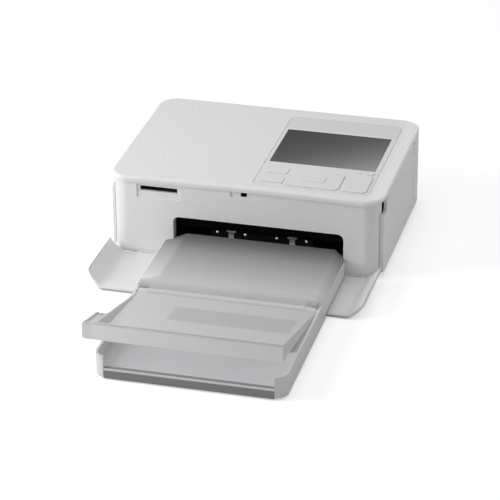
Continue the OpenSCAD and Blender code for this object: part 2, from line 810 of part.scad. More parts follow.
module key_switches() placed() color("gray") {
  for (p = switch_places) {
    box([p[0] - 2.2, p[1] - 2.2, board_z1], [p[0] + 2.2, p[1] + 2.2, board_z1 + 1.4]);
    bar_z(board_z1 + 1.4, switch_top, p[0], p[1], 1);
  }
}

module menu_button() placed() color(panel_grey) key_body() {
  menu_shape();
  menu_shape(flange_side, flange_end);
}

module back_button() placed() color(panel_grey) key_body() {
  back_shape();
  back_shape(flange_side, flange_end);
}

module ok_button() placed() color(panel_grey) key_body(height = key_top + 0.2) {
  ok_shape();
  ok_shape(flange_end, flange_end);
}

module direction_pad() placed() color(panel_grey) difference() {
  key_body() {
    pad_shape();
    pad_shape(flange_side, flange_end);
  }
  translate([0, 0, key_flange_z0 - 1]) linear_extrude(20) ok_shape(key_gap, key_gap);
  translate([0, 0, key_flange_z0 - 1]) linear_extrude(1 + key_flange_t + key_travel + key_gap)
    ok_shape(flange_end + seat_gap, flange_end + seat_gap);
}

module print_button() placed() color(panel_grey) key_body() {
  print_shape();
  print_shape(flange_side, flange_end);
}

module power_button() placed() color(panel_grey) {
  bar_z(key_flange_z0, key_top, power_x, power_y, power_r);
  bar_z(key_flange_z0, key_flange_z0 + key_flange_t, power_x, power_y, power_r + flange_end);
}

module status_light() placed() color("lightgreen")
  bar_z(panel_z0 + 0.2, body_h + 0.1, light_x, power_y, light_r);

// ---------------------------------------------------------------- electronics

module card_reader() placed() color(steel) difference() {
  box([card_x - 14, front_inner_y + seat_gap, reader_z - 2.6],
    [card_x + 14, front_inner_y + 29, reader_z + 2.4]);
  box([card_x - card_w / 2, 0, reader_z - card_h / 2 + 0.2],
    [card_x + card_w / 2, front_inner_y + 27.5, reader_z + card_h / 2 - 0.2]);
}

module usb_socket() placed() color(steel) difference() {
  along_y(rear_inner_y - 8, body_d - 0.6) usb_outline();
  along_y(rear_inner_y - 6.5, body_d + 1) usb_outline(-0.35);
}

module dc_inlet() placed() color(dark_plastic) {
  difference() {
    union() {
      box([board_x + board_back_t, rear_inner_y - 13, inlet_z - 5],
        [inlet_x + 5, rear_inner_y - seat_gap, inlet_z + 5]);
      bar_y(rear_inner_y - 1, body_d - 0.4, inlet_x, inlet_z, inlet_r - 0.1);
    }
    bar_y(rear_inner_y - 9, body_d + 1, inlet_x, inlet_z, 2.4);
  }
  bar_y(rear_inner_y - 9.5, body_d - 2, inlet_x, inlet_z, 0.7);
}

module main_board() placed() color(board_green) {
  box([board_x, 42, 5], [board_x + board_back_t, rear_inner_y - seat_gap, top_z0 - 8.2]);
  // Larger components
  box([board_x + board_back_t, 60, 14], [board_x + board_back_t + 1.4, 76, 30]);
  box([board_x + board_back_t, 84, 30], [board_x + board_back_t + 1.2, 94, 40]);
  for (y = [50, 102]) translate([board_x + board_back_t, y, 12]) rotate([0, 90, 0]) cylinder(h = 8, r = 4);
  // Standoffs against the left wall
  for (y = [48, rear_inner_y - 11], z = [10, 42])
    translate([-half_w + wall + 0.1, y, z]) rotate([0, 90, 0])
      cylinder(h = board_x + half_w - wall - 0.1, r = 2.4);
}

// ---------------------------------------------------------------- print mechanism

function involute(r, base) = sqrt(pow(r / base, 2) - 1) * 180 / PI - acos(base / r);

// Half the angle of a gear tooth at radius r, a little thinner than the full tooth for backlash
function half_tooth(teeth, r) =
  let (pitch = gear_m * teeth / 2, base = pitch * cos(20), slack = 0.05 / pitch * 180 / PI)
  90 / teeth - slack + involute(pitch, base) - (r > base ? involute(r, base) : 0);

module gear_shape(teeth, phase) {
  pitch = gear_m * teeth / 2;
  root = pitch - 1.1 * gear_m;
  tip = pitch + 0.85 * gear_m;
  flank = [for (k = [0:4]) root + (tip - root) * k / 4];
  polygon([
    for (tooth = [0:teeth - 1]) let (mid = phase + tooth * 360 / teeth)
      each concat(
        [for (k = [0:4]) let (a = mid - half_tooth(teeth, flank[k])) flank[k] * [cos(a), sin(a)]],
        [for (k = [4:-1:0]) let (a = mid + half_tooth(teeth, flank[k])) flank[k] * [cos(a), sin(a)]]
      )
  ]);
}

// Phase of a gear that meshes with another one, from the direction between their centres
function mesh_phase(teeth_a, phase_a, teeth_b, direction) =
  let (share = (direction - phase_a) * teeth_a / 360)
  direction + 180 + (share - floor(share)) * 360 / teeth_b + 180 / teeth_b;

idler_phase = mesh_phase(capstan_teeth, 0, idler_teeth, 180);
pinion_phase = mesh_phase(idler_teeth, idler_phase, pinion_teeth, pinion_angle);
takeup_phase = mesh_phase(capstan_teeth, 0, takeup_teeth,
  atan2(takeup_z - capstan_z, takeup_y - capstan_y));

module spur_gear(y, z, teeth, phase, bore) {
  difference() {
    along_x(gear_x0, gear_x0 + gear_w) translate([y, z]) gear_shape(teeth, phase);
    bar_x(gear_x0 - 1, gear_x0 + gear_w + 1, y, z, bore);
  }
}

module capstan_gear() placed() color(gear_white)
  spur_gear(capstan_y, capstan_z, capstan_teeth, 0, shaft_r + eps);

module idler_gear() placed() color(gear_white)
  spur_gear(idler_y, idler_z, idler_teeth, idler_phase, shaft_r + eps);

module motor_pinion() placed() color("goldenrod") {
  spur_gear(pinion_y, pinion_z, pinion_teeth, pinion_phase, pinion_shaft_r + eps);
  bar_x(bracket_x - frame_t - 0.4, gear_x0 + gear_w, pinion_y, pinion_z, pinion_shaft_r);
}

pinion_shaft_r = 1;

module takeup_gear() placed() color(gear_white) {
  spur_gear(takeup_y, takeup_z, takeup_teeth, takeup_phase, spindle_r - eps);
  bar_x(bracket_x - frame_t, end_plate_x0 + 5, takeup_y, takeup_z, spindle_r);
}

// Outline of the left side plate in the Y-Z plane
module left_plate_shape() {
  polygon([
    [8, plate_z1], [frame_y1, plate_z1], [frame_y1, frame_top], [40, frame_top],
    [36, plate_step_z - 4], [8, plate_step_z - 4]
  ]);
}

// Feet bent inwards from a side plate, with their screw holes
module frame_feet(x) {
  for (y = flange_ys) difference() {
    box([x - flange_w / 2, y - flange_l / 2, plate_z1],
      [x + flange_w / 2, y + flange_l / 2, plate_z1 + frame_t]);
    bar_z(plate_z1 - 1, plate_z1 + frame_t + 1, x, y, screw_r + running_gap);
  }
}

module left_frame() placed() color(steel) {
  left_plate();
  frame_feet(flange_xs[0]);
}

module right_frame() placed() color(steel) {
  right_plate();
  frame_feet(flange_xs[1]);
}

module left_plate() difference() {
  along_x(left_plate_x - frame_t, left_plate_x) left_plate_shape();
  for (p = [[idler_y, idler_z, shaft_r], [capstan_y, capstan_z, shaft_r], [capstan_y, pinch_z, shaft_r],
      [platen_y, platen_z, shaft_r], [takeup_y, takeup_z, spindle_r]])
    bar_x(left_plate_x - 5, left_plate_x + 5, p[0], p[1], p[2] + running_gap);
  bar_x(left_plate_x - 5, left_plate_x + 5, arm_y, arm_z, shaft_r + eps);
  // Lightening window
  along_x(left_plate_x - 5, left_plate_x + 5) round_rect(92, 8, 110, 26, 3);
}

module right_plate() difference() {
  along_x(right_plate_x, right_plate_x + frame_t) difference() {
    polygon([
      [8, plate_z1], [frame_y1, plate_z1], [frame_y1, frame_top + 1], [46, frame_top + 1],
      [44.5, plate_step_z], [8, plate_step_z]
    ]);
    cassette_window();
    round_rect(92, 8, 110, 22, 3);
  }
  for (p = [[idler_y, idler_z], [capstan_y, capstan_z], [capstan_y, pinch_z], [platen_y, platen_z]])
    bar_x(right_plate_x - 5, right_plate_x + 5, p[0], p[1], shaft_r + running_gap);
  bar_x(right_plate_x - 5, right_plate_x + 5, arm_y, arm_z, shaft_r + eps);
}

module frame_ties() placed() color(steel)
  for (p = [[44, plate_step_z - 0.5], [66, 8], [arm_y - 2, 12]])
    bar_x(left_plate_x, right_plate_x, p[0], p[1], 2);

// Plate outside the gears: it carries the motor and the shafts' outer ends
module motor_bracket() placed() color(steel) {
  difference() {
    along_x(bracket_x - frame_t, bracket_x) polygon([
      [10, 14], [capstan_y + 16, 6], [capstan_y + 16, frame_top - 2.2], [capstan_y - 10, frame_top - 2.2],
      [30, 41.5], [10, 41.5]
    ]);
    for (p = [[idler_y, idler_z, shaft_r], [capstan_y, capstan_z, shaft_r],
        [takeup_y, takeup_z, spindle_r]])
      bar_x(bracket_x - 5, bracket_x + 5, p[0], p[1], p[2] + running_gap);
    bar_x(bracket_x - 5, bracket_x + 5, pinion_y, pinion_z, 3);
  }
  for (p = [[13, 17], [capstan_y + 13.5, 9.5], [capstan_y - 15, 39]])
    bar_x(bracket_x, left_plate_x - frame_t, p[0], p[1], 1.6);
}

module drive_motor() placed() color(steel) difference() {
  union() {
    bar_x(bracket_x - frame_t - motor_l, bracket_x - frame_t, pinion_y, pinion_z, motor_r);
    bar_x(bracket_x - frame_t - motor_l - 1.4, bracket_x - frame_t - motor_l, pinion_y, pinion_z, 3);
  }
  bar_x(bracket_x - frame_t - 3, bracket_x, pinion_y, pinion_z, pinion_shaft_r + running_gap);
}

// Steel shaft between the outer plates with a rubber or steel roller on it
module roller(y, z, r, x0, x1, start) {
  bar_x(start, right_plate_x + frame_t + 0.4, y, z, shaft_r);
  bar_x(x0, x1, y, z, r);
}

outer_shaft_x = bracket_x - frame_t - 0.4;
inner_shaft_x = left_plate_x - frame_t;

module capstan_roller() placed() color(steel)
  roller(capstan_y, capstan_z, capstan_r, paper_x0 - 3, paper_x1 + 3, outer_shaft_x);

module pinch_roller() placed() color("dimgray")
  roller(capstan_y, pinch_z, pinch_r, paper_x0 - 3, paper_x1 + 3, inner_shaft_x);

module platen_roller() placed() color("dimgray")
  roller(platen_y, platen_z, platen_r, paper_x0 - 3, paper_x1 + 3, inner_shaft_x);

module pickup_roller() placed() color("dimgray") {
  bar_x(outer_shaft_x, right_plate_x + frame_t + 0.4, idler_y, idler_z, shaft_r);
  for (x = [mouth_x - 24, mouth_x + 12]) bar_x(x, x + 12, idler_y, idler_z, pickup_r);
}

module thermal_head() placed() color(dark_plastic) {
  box([head_x0, head_y0, head_z0 + 0.8], [head_x1, head_y1, head_z0 + head_bar_h]);
  // Raised glaze line that presses on the ribbon
  box([head_x0 + 2, platen_y - 2, head_z0], [head_x1 - 2, platen_y + 2, head_z0 + 0.8]);
}

// Heat sink of the head with its bridge and the two arms to the pivot
module head_arm() placed() color("silver") {
  z0 = head_z0 + head_bar_h;
  box([head_x0, head_y0, z0], [head_x1, head_y1, z0 + 2]);
  for (k = [0:5]) {
    y = head_y0 + k * 2.16;
    box([head_x0, y, z0 + 2 - eps], [head_x1, y + 1.2, head_top + eps]);
  }
  arm_x0 = left_plate_x + arm_gap;
  arm_x1 = right_plate_x - arm_gap;
  box([arm_x0, head_y0, head_top], [arm_x1, head_y1, head_top + 1.6]);
  for (x = [arm_x0, arm_x1 - arm_t]) difference() {
    along_x(x, x + arm_t) union() {
      polygon([
        [head_y0, head_top], [head_y1 + 4, head_top], [arm_y - 2, arm_z - 3], [arm_y, arm_z + 3],
        [head_y0, head_top + 5]
      ]);
      translate([arm_y, arm_z]) circle(3.4);
    }
    bar_x(x - 1, x + arm_t + 1, arm_y, arm_z, shaft_r + running_gap);
  }
}

module head_pivot_shaft() placed() color(steel)
  bar_x(left_plate_x - frame_t, right_plate_x + frame_t, arm_y, arm_z, shaft_r);

// ---------------------------------------------------------------- ribbon

module ribbon_cassette() placed() color(smoke_grey) {
  for (x = [end_plate_x0, end_plate_x1]) difference() {
    along_x(x, x + end_plate_t) union() {
      translate([takeup_y, takeup_z]) circle(takeup_housing_r);
      translate([supply_y, supply_z]) circle(supply_housing_r);
      polygon([
        [takeup_y, takeup_z - 4], [takeup_y + 13, 28], [supply_y, 28], [supply_y, 37],
        [takeup_y + 6, 38]
      ]);
    }
    bar_x(x - 1, x + end_plate_t + 1, takeup_y, takeup_z, journal_r + running_gap);
    bar_x(x - 1, x + end_plate_t + 1, supply_y, supply_z, journal_r + running_gap);
  }
  // Half tubes round the two spools, open towards the print line
  spool_housing(takeup_y, takeup_z, takeup_housing_r, -1);
  spool_housing(supply_y, supply_z, supply_housing_r, 1);
  // Grip at the end that faces the ink door
  box([end_plate_x1 + end_plate_t - eps, 76, 29], [end_plate_x1 + 12, 78, 36]);
  box([end_plate_x1 + end_plate_t - eps, 90, 29], [end_plate_x1 + 12, 92, 36]);
  box([end_plate_x1 + 10, 76, 29], [end_plate_x1 + 12, 92, 36]);
}

module spool_housing(y, z, r, side) {
  difference() {
    bar_x(end_plate_x0 + end_plate_t - eps, end_plate_x1 + eps, y, z, r);
    bar_x(end_plate_x0, end_plate_x1 + 3, y, z, r - housing_t);
    cut = side < 0 ? y + 0.5 : y - 0.5 - 2 * r;
    box([end_plate_x0 - 1, cut, z - r - 1], [end_plate_x1 + 3, cut + 2 * r, z + r + 1]);
  }
}

// A spool: its core with journals in the cassette's end plates, and the ribbon wound on it
module spool(y, z, wound_r) {
  x0 = end_plate_x0 - 0.3;
  x1 = end_plate_x1 + end_plate_t + 0.3;
  bar_x(x0, x1, y, z, journal_r);
  for (x = [end_plate_x0 + end_plate_t + 0.5, end_plate_x1 - 1.5])
    bar_x(x, x + 1, y, z, wound_r);
  bar_x(head_x0 + 1, head_x1 - 1, y, z, wound_r);
}

module supply_spool() placed() color("gainsboro") spool(supply_y, supply_z, supply_wound_r);

module takeup_spool() placed() color("gainsboro") difference() {
  spool(takeup_y, takeup_z, takeup_wound_r);
  bar_x(end_plate_x0 - 2, end_plate_x0 + 6, takeup_y, takeup_z, spindle_r + eps);
}

// Ribbon film from the supply spool under the head to the take-up spool
module ink_ribbon() placed() color("darkslateblue") {
  low = head_z0 - 0.2;
  film = [
    [supply_y - supply_wound_r - 0.3, supply_z], [head_y1 + 1.5, low], [head_y0 - 2.5, low],
    [takeup_y + takeup_wound_r + 0.3, takeup_z]
  ];
  for (k = [0:2]) along_x(head_x0 + 2, head_x1 - 2) film_strip(film[k], film[k + 1]);
}

module film_strip(a, b) {
  n = [b[1] - a[1], a[0] - b[0]] / norm(b - a) * ribbon_t / 2;
  polygon([a + n, b + n, b - n, a - n]);
}

// ---------------------------------------------------------------- paper guides and fan

module paper_guide() placed() color(dark_plastic) {
  box([left_plate_x + 0.1, 15, 19.5], [right_plate_x - 0.1, 18.5, 24]);
  // Lower lip just behind the opening
  box([-24, 10, 16], [44, 15 + eps, 20.4]);
  for (x = guide_ribs) box([x, 11, 20.4 - eps], [x + 1, 15, 22]);
}

guide_ribs = [-22, -4, 19, 38];
clip_places = [-10.2, 30.6];

module guide_clips() placed() color(steel)
  for (x = clip_places) {
    box([x - 3.2, 9.3, 20.6], [x + 3.2, 11.5, 21.6]);
    box([x - 1.8, 9.3, 15.6], [x + 1.8, 9.9, 20.7]);
  }

module cooling_fan() placed() color(dark_plastic) difference() {
  y1 = rear_inner_y - seat_gap;
  box([fan_x0, y1 - fan_t, fan_z0], [fan_x0 + fan_size, y1, fan_z0 + fan_size]);
  bar_y(y1 - fan_t + 1, y1 + 1, fan_x, fan_z, fan_size / 2 - 1);
  // Openings between the four struts that hold the hub
  for (k = [0:3]) translate([fan_x, 0, fan_z]) rotate([0, 45 + 90 * k, 0])
    along_y(y1 - fan_t - 1, y1) translate([4, -3]) square([fan_size / 2 - 6, 6]);
}

module fan_rotor() placed() color(dark_plastic) {
  y1 = rear_inner_y - seat_gap;
  bar_y(y1 - fan_t + 1.2, y1 - 0.8, fan_x, fan_z, 4);
  for (k = [0:6]) translate([fan_x, 0, fan_z]) rotate([0, k * 360 / 7, 0])
    box([3.5, y1 - fan_t + 2, -0.5], [fan_size / 2 - 1.9, y1 - 1.2, 0.5]);
}

// ---------------------------------------------------------------- paper cassette

// Outline of the cassette seen from above, moved inwards by a distance
module tray_outline(inset = 0) {
  r = tray_corner_r - inset;
  translate([tray_x0 + inset, tray_y0 + tray_corner_r])
    square([tray_w - 2 * inset, tray_neck_y - inset - tray_y0 - tray_corner_r]);
  translate([tray_x0 + tray_corner_r, tray_y0 + inset])
    square([tray_w - 2 * tray_corner_r, tray_corner_r]);
  for (x = [tray_x0 + tray_corner_r, tray_x1 - tray_corner_r])
    translate([x, tray_y0 + tray_corner_r]) circle(r);
  translate([insert_x0 + inset, tray_neck_y - inset - 1])
    square([insert_w - 2 * inset, tray_in - tray_neck_y + 1]);
}

module cassette_tray() placed() color(smoke_grey) {
  difference() {
    union() {
      translate([0, 0, tray_floor_z0]) linear_extrude(tray_top - tray_floor_z0) tray_outline();
      translate([0, 0, tray_skirt_z]) linear_extrude(tray_top - tray_skirt_z) intersection() {
        tray_outline();
        translate([-100, tray_y0]) square([200, tray_step_y - tray_y0]);
      }
    }
    // Space for the paper, closed by the rear wall
    translate([0, 0, tray_floor_z1]) linear_extrude(20) intersection() {
      tray_outline(tray_wall);
      translate([-100, tray_y0]) square([200, tray_out + tray_in - tray_wall]);
    }
    // Hollow under the floor
    translate([0, 0, 0]) linear_extrude(tray_floor_z0) intersection() {
      tray_outline(tray_wall);
      translate([-100, tray_y0]) square([200, tray_step_y - tray_wall - tray_y0]);
    }
    // Seat of the front strip and the low front wall behind it
    box([strip_x0 - 0.1, tray_y0 - 1, 0], [strip_x1 + 0.1, tray_y0 + strip_t + 0.1, 30]);
    box([strip_x0 - 0.1, tray_y0 - 1, front_wall_top], [strip_x1 + 0.1, tray_y0 + 4, 30]);
  }
  difference() {
    box([strip_x0 - 0.1, tray_y0 + strip_t + 0.1, tray_skirt_z],
      [strip_x1 + 0.1, tray_y0 + strip_t + 0.1 + tray_wall, front_wall_top]);
    box([-100, tray_y0, 0], [100, tray_y0 + 1, 1]);
  }
  // Hinge ears of the output lid on the side walls
  for (x = [tray_x0 + tray_wall - eps, tray_x1 - tray_wall - lid_ear_t + eps]) lid_ear(x);
}

module lid_ear(x) {
  difference() {
    union() {
      bar_x(x, x + lid_ear_t, lid_axis_y, lid_axis_z, lid_knuckle_r);
      box([x, lid_axis_y - lid_knuckle_r, tray_floor_z1 - eps],
        [x + lid_ear_t, lid_axis_y + lid_knuckle_r, lid_axis_z]);
    }
    bar_x(x - 1, x + lid_ear_t + 1, lid_axis_y, lid_axis_z, lid_pin_r + eps);
  }
}

module cassette_front_strip() placed() color("gray")
  box([strip_x0, tray_y0, strip_z0], [strip_x1, tray_y0 + strip_t, strip_z1]);

// Cross-section of the inner cover: a flat top with sloped shoulders
module cover_profile(x0, x1, inset) {
  left = max(x0 + inset, tray_x0 + shoulder_w);
  right = tray_x1 - shoulder_right_w;
  polygon([
    [x0 + inset, tray_top + seat_gap - (inset > 0 ? 1 : 0)],
    [x0 + inset, tray_top + 1 - inset * 0.4],
    [left + inset * 0.4, plateau_z - inset], [right - inset * 0.4, plateau_z - inset],
    [x1 - inset, tray_top + 1 - inset * 0.4],
    [x1 - inset, tray_top + seat_gap - (inset > 0 ? 1 : 0)]
  ]);
}

module cassette_cover() placed() color(smoke_grey) {
  difference() {
    union() {
      along_y(cover_front_y, tray_neck_y) cover_profile(tray_x0, tray_x1, 0);
      along_y(tray_neck_y - eps, inner_cover_rear_y) cover_profile(insert_x0, insert_x1, 0);
    }
    along_y(cover_front_y + tray_wall, tray_neck_y - tray_wall)
      cover_profile(tray_x0, tray_x1, tray_wall);
    along_y(tray_neck_y - tray_wall - eps, inner_cover_rear_y - tray_wall)
      cover_profile(insert_x0, insert_x1, tray_wall);
  }
}

// The output lid is drawn flat from its hinge axis and then tilted to its slope
module output_lid() placed() color(smoke_grey) {
  translate([0, lid_axis_y, lid_axis_z]) rotate([-lid_slope, 0, 0]) {
    box([lid_x0, -lid_length, 0], [lid_x1, -lid_start, lid_t]);
    for (x = [lid_x0, lid_x1 - lid_side_t]) lid_side(x, x + lid_side_t, -lid_length, -lid_start);
    box([lid_x0, -lid_length, 0], [lid_x1, -lid_length + lid_side_t, lid_wall_h]);
    // Latch ear on the left, open above and below
    lid_side(ear_x, ear_x + lid_side_t, -lid_length, ear_y);
    for (y = [-lid_length, ear_y - lid_side_t])
      box([ear_x, y, 0], [lid_x0 + lid_side_t, y + lid_side_t, lid_wall_top(y) - 0.6]);
  }
  for (x = [lid_knuckle_a, lid_knuckle_b]) difference() {
    union() {
      bar_x(x, x + lid_knuckle_l, lid_axis_y, lid_axis_z, lid_knuckle_r);
      translate([0, lid_axis_y, lid_axis_z]) rotate([-lid_slope, 0, 0])
        box([x + 0.3, -lid_start - 1, 0], [x + lid_knuckle_l - 0.3, -lid_pin_r - 0.3, lid_t]);
    }
    bar_x(x - 1, x + lid_knuckle_l + 1, lid_axis_y, lid_axis_z, lid_pin_r + running_gap);
  }
}

// Height of the lid's side walls: they rise from the floor at the hinge to the front wall's height
function lid_wall_top(y) =
  lid_t + (lid_wall_h - lid_t) * (-lid_start - y) / (lid_length - lid_start);

// A piece of the lid's wall with the sloped top of the side walls
module lid_side(x0, x1, y0, y1) {
  along_x(x0, x1) polygon([[y0, 0], [y1, 0], [y1, lid_wall_top(y1)], [y0, lid_wall_top(y0)]]);
}

module lid_hinge_pins() placed() color(steel) {
  bar_x(tray_x0 + tray_wall, lid_knuckle_a + lid_knuckle_l, lid_axis_y, lid_axis_z, lid_pin_r);
  bar_x(lid_knuckle_b, tray_x1 - tray_wall, lid_axis_y, lid_axis_z, lid_pin_r);
}

module lift_plate() placed() color(steel)
  box([paper_x0, -16, lift_z0], [paper_x1, paper_y1, lift_z0 + lift_t]);

module paper_stack() placed() color("white")
  box([paper_x0, paper_y0, paper_z0], [paper_x1, paper_y1, paper_z1]);

module cassette_pads() placed() color("dimgray")
  for (x = [tray_x0 + tray_wall + 0.3, tray_x1 - tray_wall - 0.3 - pad_w])
    box([x, tray_y0 + 14, 0], [x + pad_w, tray_y0 + 30, tray_floor_z0]);

// Screws that hold the frame plates' feet to the base
module case_screws() placed() color(steel)
  for (x = flange_xs, y = flange_ys) {
    bar_z(plate_z0 - eps, plate_z1 + frame_t + 1.4, x, y, screw_r);
    bar_z(plate_z0 - 0.9, plate_z0, x, y, screw_head_r);
  }

// ---------------------------------------------------------------- the part

base_tray();
rubber_feet();
left_cover();
rear_cover();
top_cover();
front_panel();
ribbon_bay();
ink_door();
ink_door_pins();
front_cover();
front_cover_pins();
control_panel();
display_glass();
display_module();
control_board();
key_switches();
power_button();
menu_button();
back_button();
ok_button();
direction_pad();
print_button();
status_light();
card_reader();
usb_socket();
dc_inlet();
main_board();
left_frame();
right_frame();
frame_ties();
motor_bracket();
drive_motor();
motor_pinion();
idler_gear();
capstan_gear();
takeup_gear();
pickup_roller();
capstan_roller();
pinch_roller();
platen_roller();
thermal_head();
head_arm();
head_pivot_shaft();
ribbon_cassette();
supply_spool();
takeup_spool();
ink_ribbon();
paper_guide();
guide_clips();
cooling_fan();
fan_rotor();
cassette_tray();
cassette_front_strip();
cassette_cover();
output_lid();
lid_hinge_pins();
lift_plate();
paper_stack();
cassette_pads();
case_screws();
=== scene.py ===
"""Looks of the compact photo printer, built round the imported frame.

The scene is in metres. Distances called mm run from the middle of the body (X), from its front
edge (Y, towards the rear) and from the table (Z).
"""
import json
import math

import bmesh
import bpy
from mathutils import Matrix, Vector


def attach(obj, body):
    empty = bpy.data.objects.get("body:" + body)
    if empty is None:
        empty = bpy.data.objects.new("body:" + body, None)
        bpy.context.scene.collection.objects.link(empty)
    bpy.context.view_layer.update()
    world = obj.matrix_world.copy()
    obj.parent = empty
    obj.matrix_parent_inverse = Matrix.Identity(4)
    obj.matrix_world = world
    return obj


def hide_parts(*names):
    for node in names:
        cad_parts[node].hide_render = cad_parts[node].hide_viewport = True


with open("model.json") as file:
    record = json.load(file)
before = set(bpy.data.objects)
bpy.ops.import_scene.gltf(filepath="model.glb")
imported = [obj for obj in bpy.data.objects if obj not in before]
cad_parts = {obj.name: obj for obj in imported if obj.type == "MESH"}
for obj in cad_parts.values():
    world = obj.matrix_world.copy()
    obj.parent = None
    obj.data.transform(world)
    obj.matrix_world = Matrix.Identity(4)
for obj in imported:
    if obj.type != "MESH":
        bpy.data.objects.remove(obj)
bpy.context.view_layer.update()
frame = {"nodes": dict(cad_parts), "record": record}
NODES = frame["nodes"]
SLOT = {part["node"]: part["material_slot"] for part in frame["record"]["subparts"]}
BODY = {node: body for body, nodes in frame["record"]["behaviour"]["bodies"].items() for node in nodes}
SHIFT = 13.5  # the body's front edge lies this far behind the origin, in mm

# Sizes of the frame that the pieces below are fitted to, in mm
HALF_WIDTH = 91.1
BODY_DEPTH = 133
BODY_HEIGHT = 57.6
CORNER_R = 13
TOP_EDGE_R = 2.2
LID_AXIS = (-70, 12.6)  # Y and Z of the output lid's hinge line
DOOR_AXIS = (89.8, 105.8)  # X and Y of the ink door's hinge line


def pt(x, y, z):
    """Point in mm from the body's front edge, in the scene's metres."""
    return Vector((x / 1000, (y + SHIFT) / 1000, z / 1000))


# ------------------------------------------------------------------ shader building blocks

def new_material(name):
    m = bpy.data.materials.new(name)
    m.use_nodes = True
    nt = m.node_tree
    nt.nodes.clear()
    out = nt.nodes.new("ShaderNodeOutputMaterial")
    bsdf = nt.nodes.new("ShaderNodeBsdfPrincipled")
    nt.links.new(bsdf.outputs[0], out.inputs[0])
    return m, nt, bsdf


def add(nt, kind, **properties):
    n = nt.nodes.new(kind)
    for key, value in properties.items():
        setattr(n, key, value)
    return n


def coords(nt):
    return add(nt, "ShaderNodeTexCoord").outputs["Object"]


def axis_of(nt, vec, axis):
    parts = add(nt, "ShaderNodeSeparateXYZ")
    nt.links.new(vec, parts.inputs[0])
    return parts.outputs[axis]


def noise(nt, vec, scale, detail=2.0):
    n = add(nt, "ShaderNodeTexNoise")
    n.inputs["Scale"].default_value = scale
    n.inputs["Detail"].default_value = detail
    nt.links.new(vec, n.inputs["Vector"])
    return n.outputs["Fac"]


def remap(nt, value, lo, hi, a, b):
    n = add(nt, "ShaderNodeMapRange")
    n.clamp = True
    nt.links.new(value, n.inputs["Value"])
    for name, level in zip(("From Min", "From Max", "To Min", "To Max"), (lo, hi, a, b)):
        n.inputs[name].default_value = level
    return n.outputs["Result"]


def math_node(nt, op, a, b):
    n = add(nt, "ShaderNodeMath", operation=op)
    for socket, value in zip(n.inputs, (a, b)):
        if isinstance(value, (int, float)):
            socket.default_value = value
        else:
            nt.links.new(value, socket)
    return n.outputs[0]


def times(nt, *factors):
    product = factors[0]
    for factor in factors[1:]:
        product = math_node(nt, "MULTIPLY", product, factor)
    return product


def mix_colour(nt, share, a, b):
    """Colour a where share is 0, colour b where it is 1."""
    n = add(nt, "ShaderNodeMix", data_type="RGBA")
    nt.links.new(share, n.inputs[0])
    n.inputs[6].default_value = (*a, 1)
    n.inputs[7].default_value = (*b, 1)
    return n.outputs[2]


def scaled_colour(nt, colour, factor):
    n = add(nt, "ShaderNodeMix", data_type="RGBA", blend_type="MULTIPLY")
    n.inputs[0].default_value = 1.0
    nt.links.new(colour, n.inputs[6])
    nt.links.new(factor, n.inputs[7])
    return n.outputs[2]


def ramp(nt, value, lo, hi, stops):
    """Grey ramp over lo..hi; stops are (share, grey)."""
    n = add(nt, "ShaderNodeValToRGB")
    n.color_ramp.interpolation = "B_SPLINE"
    while len(n.color_ramp.elements) < len(stops):
        n.color_ramp.elements.new(0.5)
    for element, (share, grey) in zip(n.color_ramp.elements, stops):
        element.position = share
        element.color = (grey, grey, grey * 1.01, 1)
    nt.links.new(remap(nt, value, lo, hi, 0, 1), n.inputs[0])
    return n.outputs["Color"]


def bump(nt, bsdf, height, strength, distance):
    n = add(nt, "ShaderNodeBump")
    n.inputs["Strength"].default_value = strength
    n.inputs["Distance"].default_value = distance
    nt.links.new(height, n.inputs["Height"])
    nt.links.new(n.outputs[0], bsdf.inputs["Normal"])


def cloudy(nt, vec, colour, scale, detail, down, up):
    """The colour, a little darker and lighter in soft patches."""
    light = tuple(min(1, c * (1 + up)) for c in colour)
    dark = tuple(c * (1 - down) for c in colour)
    return mix_colour(nt, noise(nt, vec, scale, detail), dark, light)


def vary_roughness(nt, bsdf, pattern, low, high):
    nt.links.new(remap(nt, pattern, 0.3, 0.7, low, high), bsdf.inputs["Roughness"])


def body_metres(mm, axis):
    """Object coordinate, in metres, of a place in mm along one axis."""
    return (mm + (SHIFT if axis == "Y" else 0)) / 1000


def between(nt, vec, axis, lo, hi, soft):
    """1 between two planes, falling to 0 over a soft edge, all in mm."""
    place = axis_of(nt, vec, axis)
    lo, hi, soft = body_metres(lo, axis), body_metres(hi, axis), soft / 1000
    return times(nt, remap(nt, place, lo - soft, lo + soft, 0, 1),
                 remap(nt, place, hi - soft, hi + soft, 1, 0))


def marked(m, *marks):
    """Scales a material's colour inside boxes. A mark is (factor, soft edge, {axis: (lo, hi)}), in mm."""
    nt = m.node_tree
    target = nt.nodes["Principled BSDF"].inputs["Base Color"]
    vec = coords(nt)
    for factor, soft, ranges in marks:
        inside = times(nt, *[between(nt, vec, axis, lo, hi, soft) for axis, (lo, hi) in ranges.items()])
        colour = target.links[0].from_socket
        nt.links.new(scaled_colour(nt, colour, remap(nt, inside, 0, 1, 1.0, factor)), target)
    return m


# ------------------------------------------------------------------ materials

WHITE = (0.80, 0.80, 0.81)
DIMPLE_PITCH = 0.0021  # in metres


def plastic(name, colour, rough=0.45, grain=2500, grain_depth=0.15, spread=0.03, specular=0.5):
    """Moulded plastic: a faint change of tone over the piece, fine grain and varied roughness."""
    m, nt, b = new_material(name)
    vec = coords(nt)
    nt.links.new(cloudy(nt, vec, colour, 30, 3, spread, spread), b.inputs["Base Color"])
    vary_roughness(nt, b, noise(nt, vec, 120, 4), rough - 0.05, rough + 0.05)
    b.inputs["Specular IOR Level"].default_value = specular
    bump(nt, b, noise(nt, vec, grain), grain_depth, 0.0002)
    return m


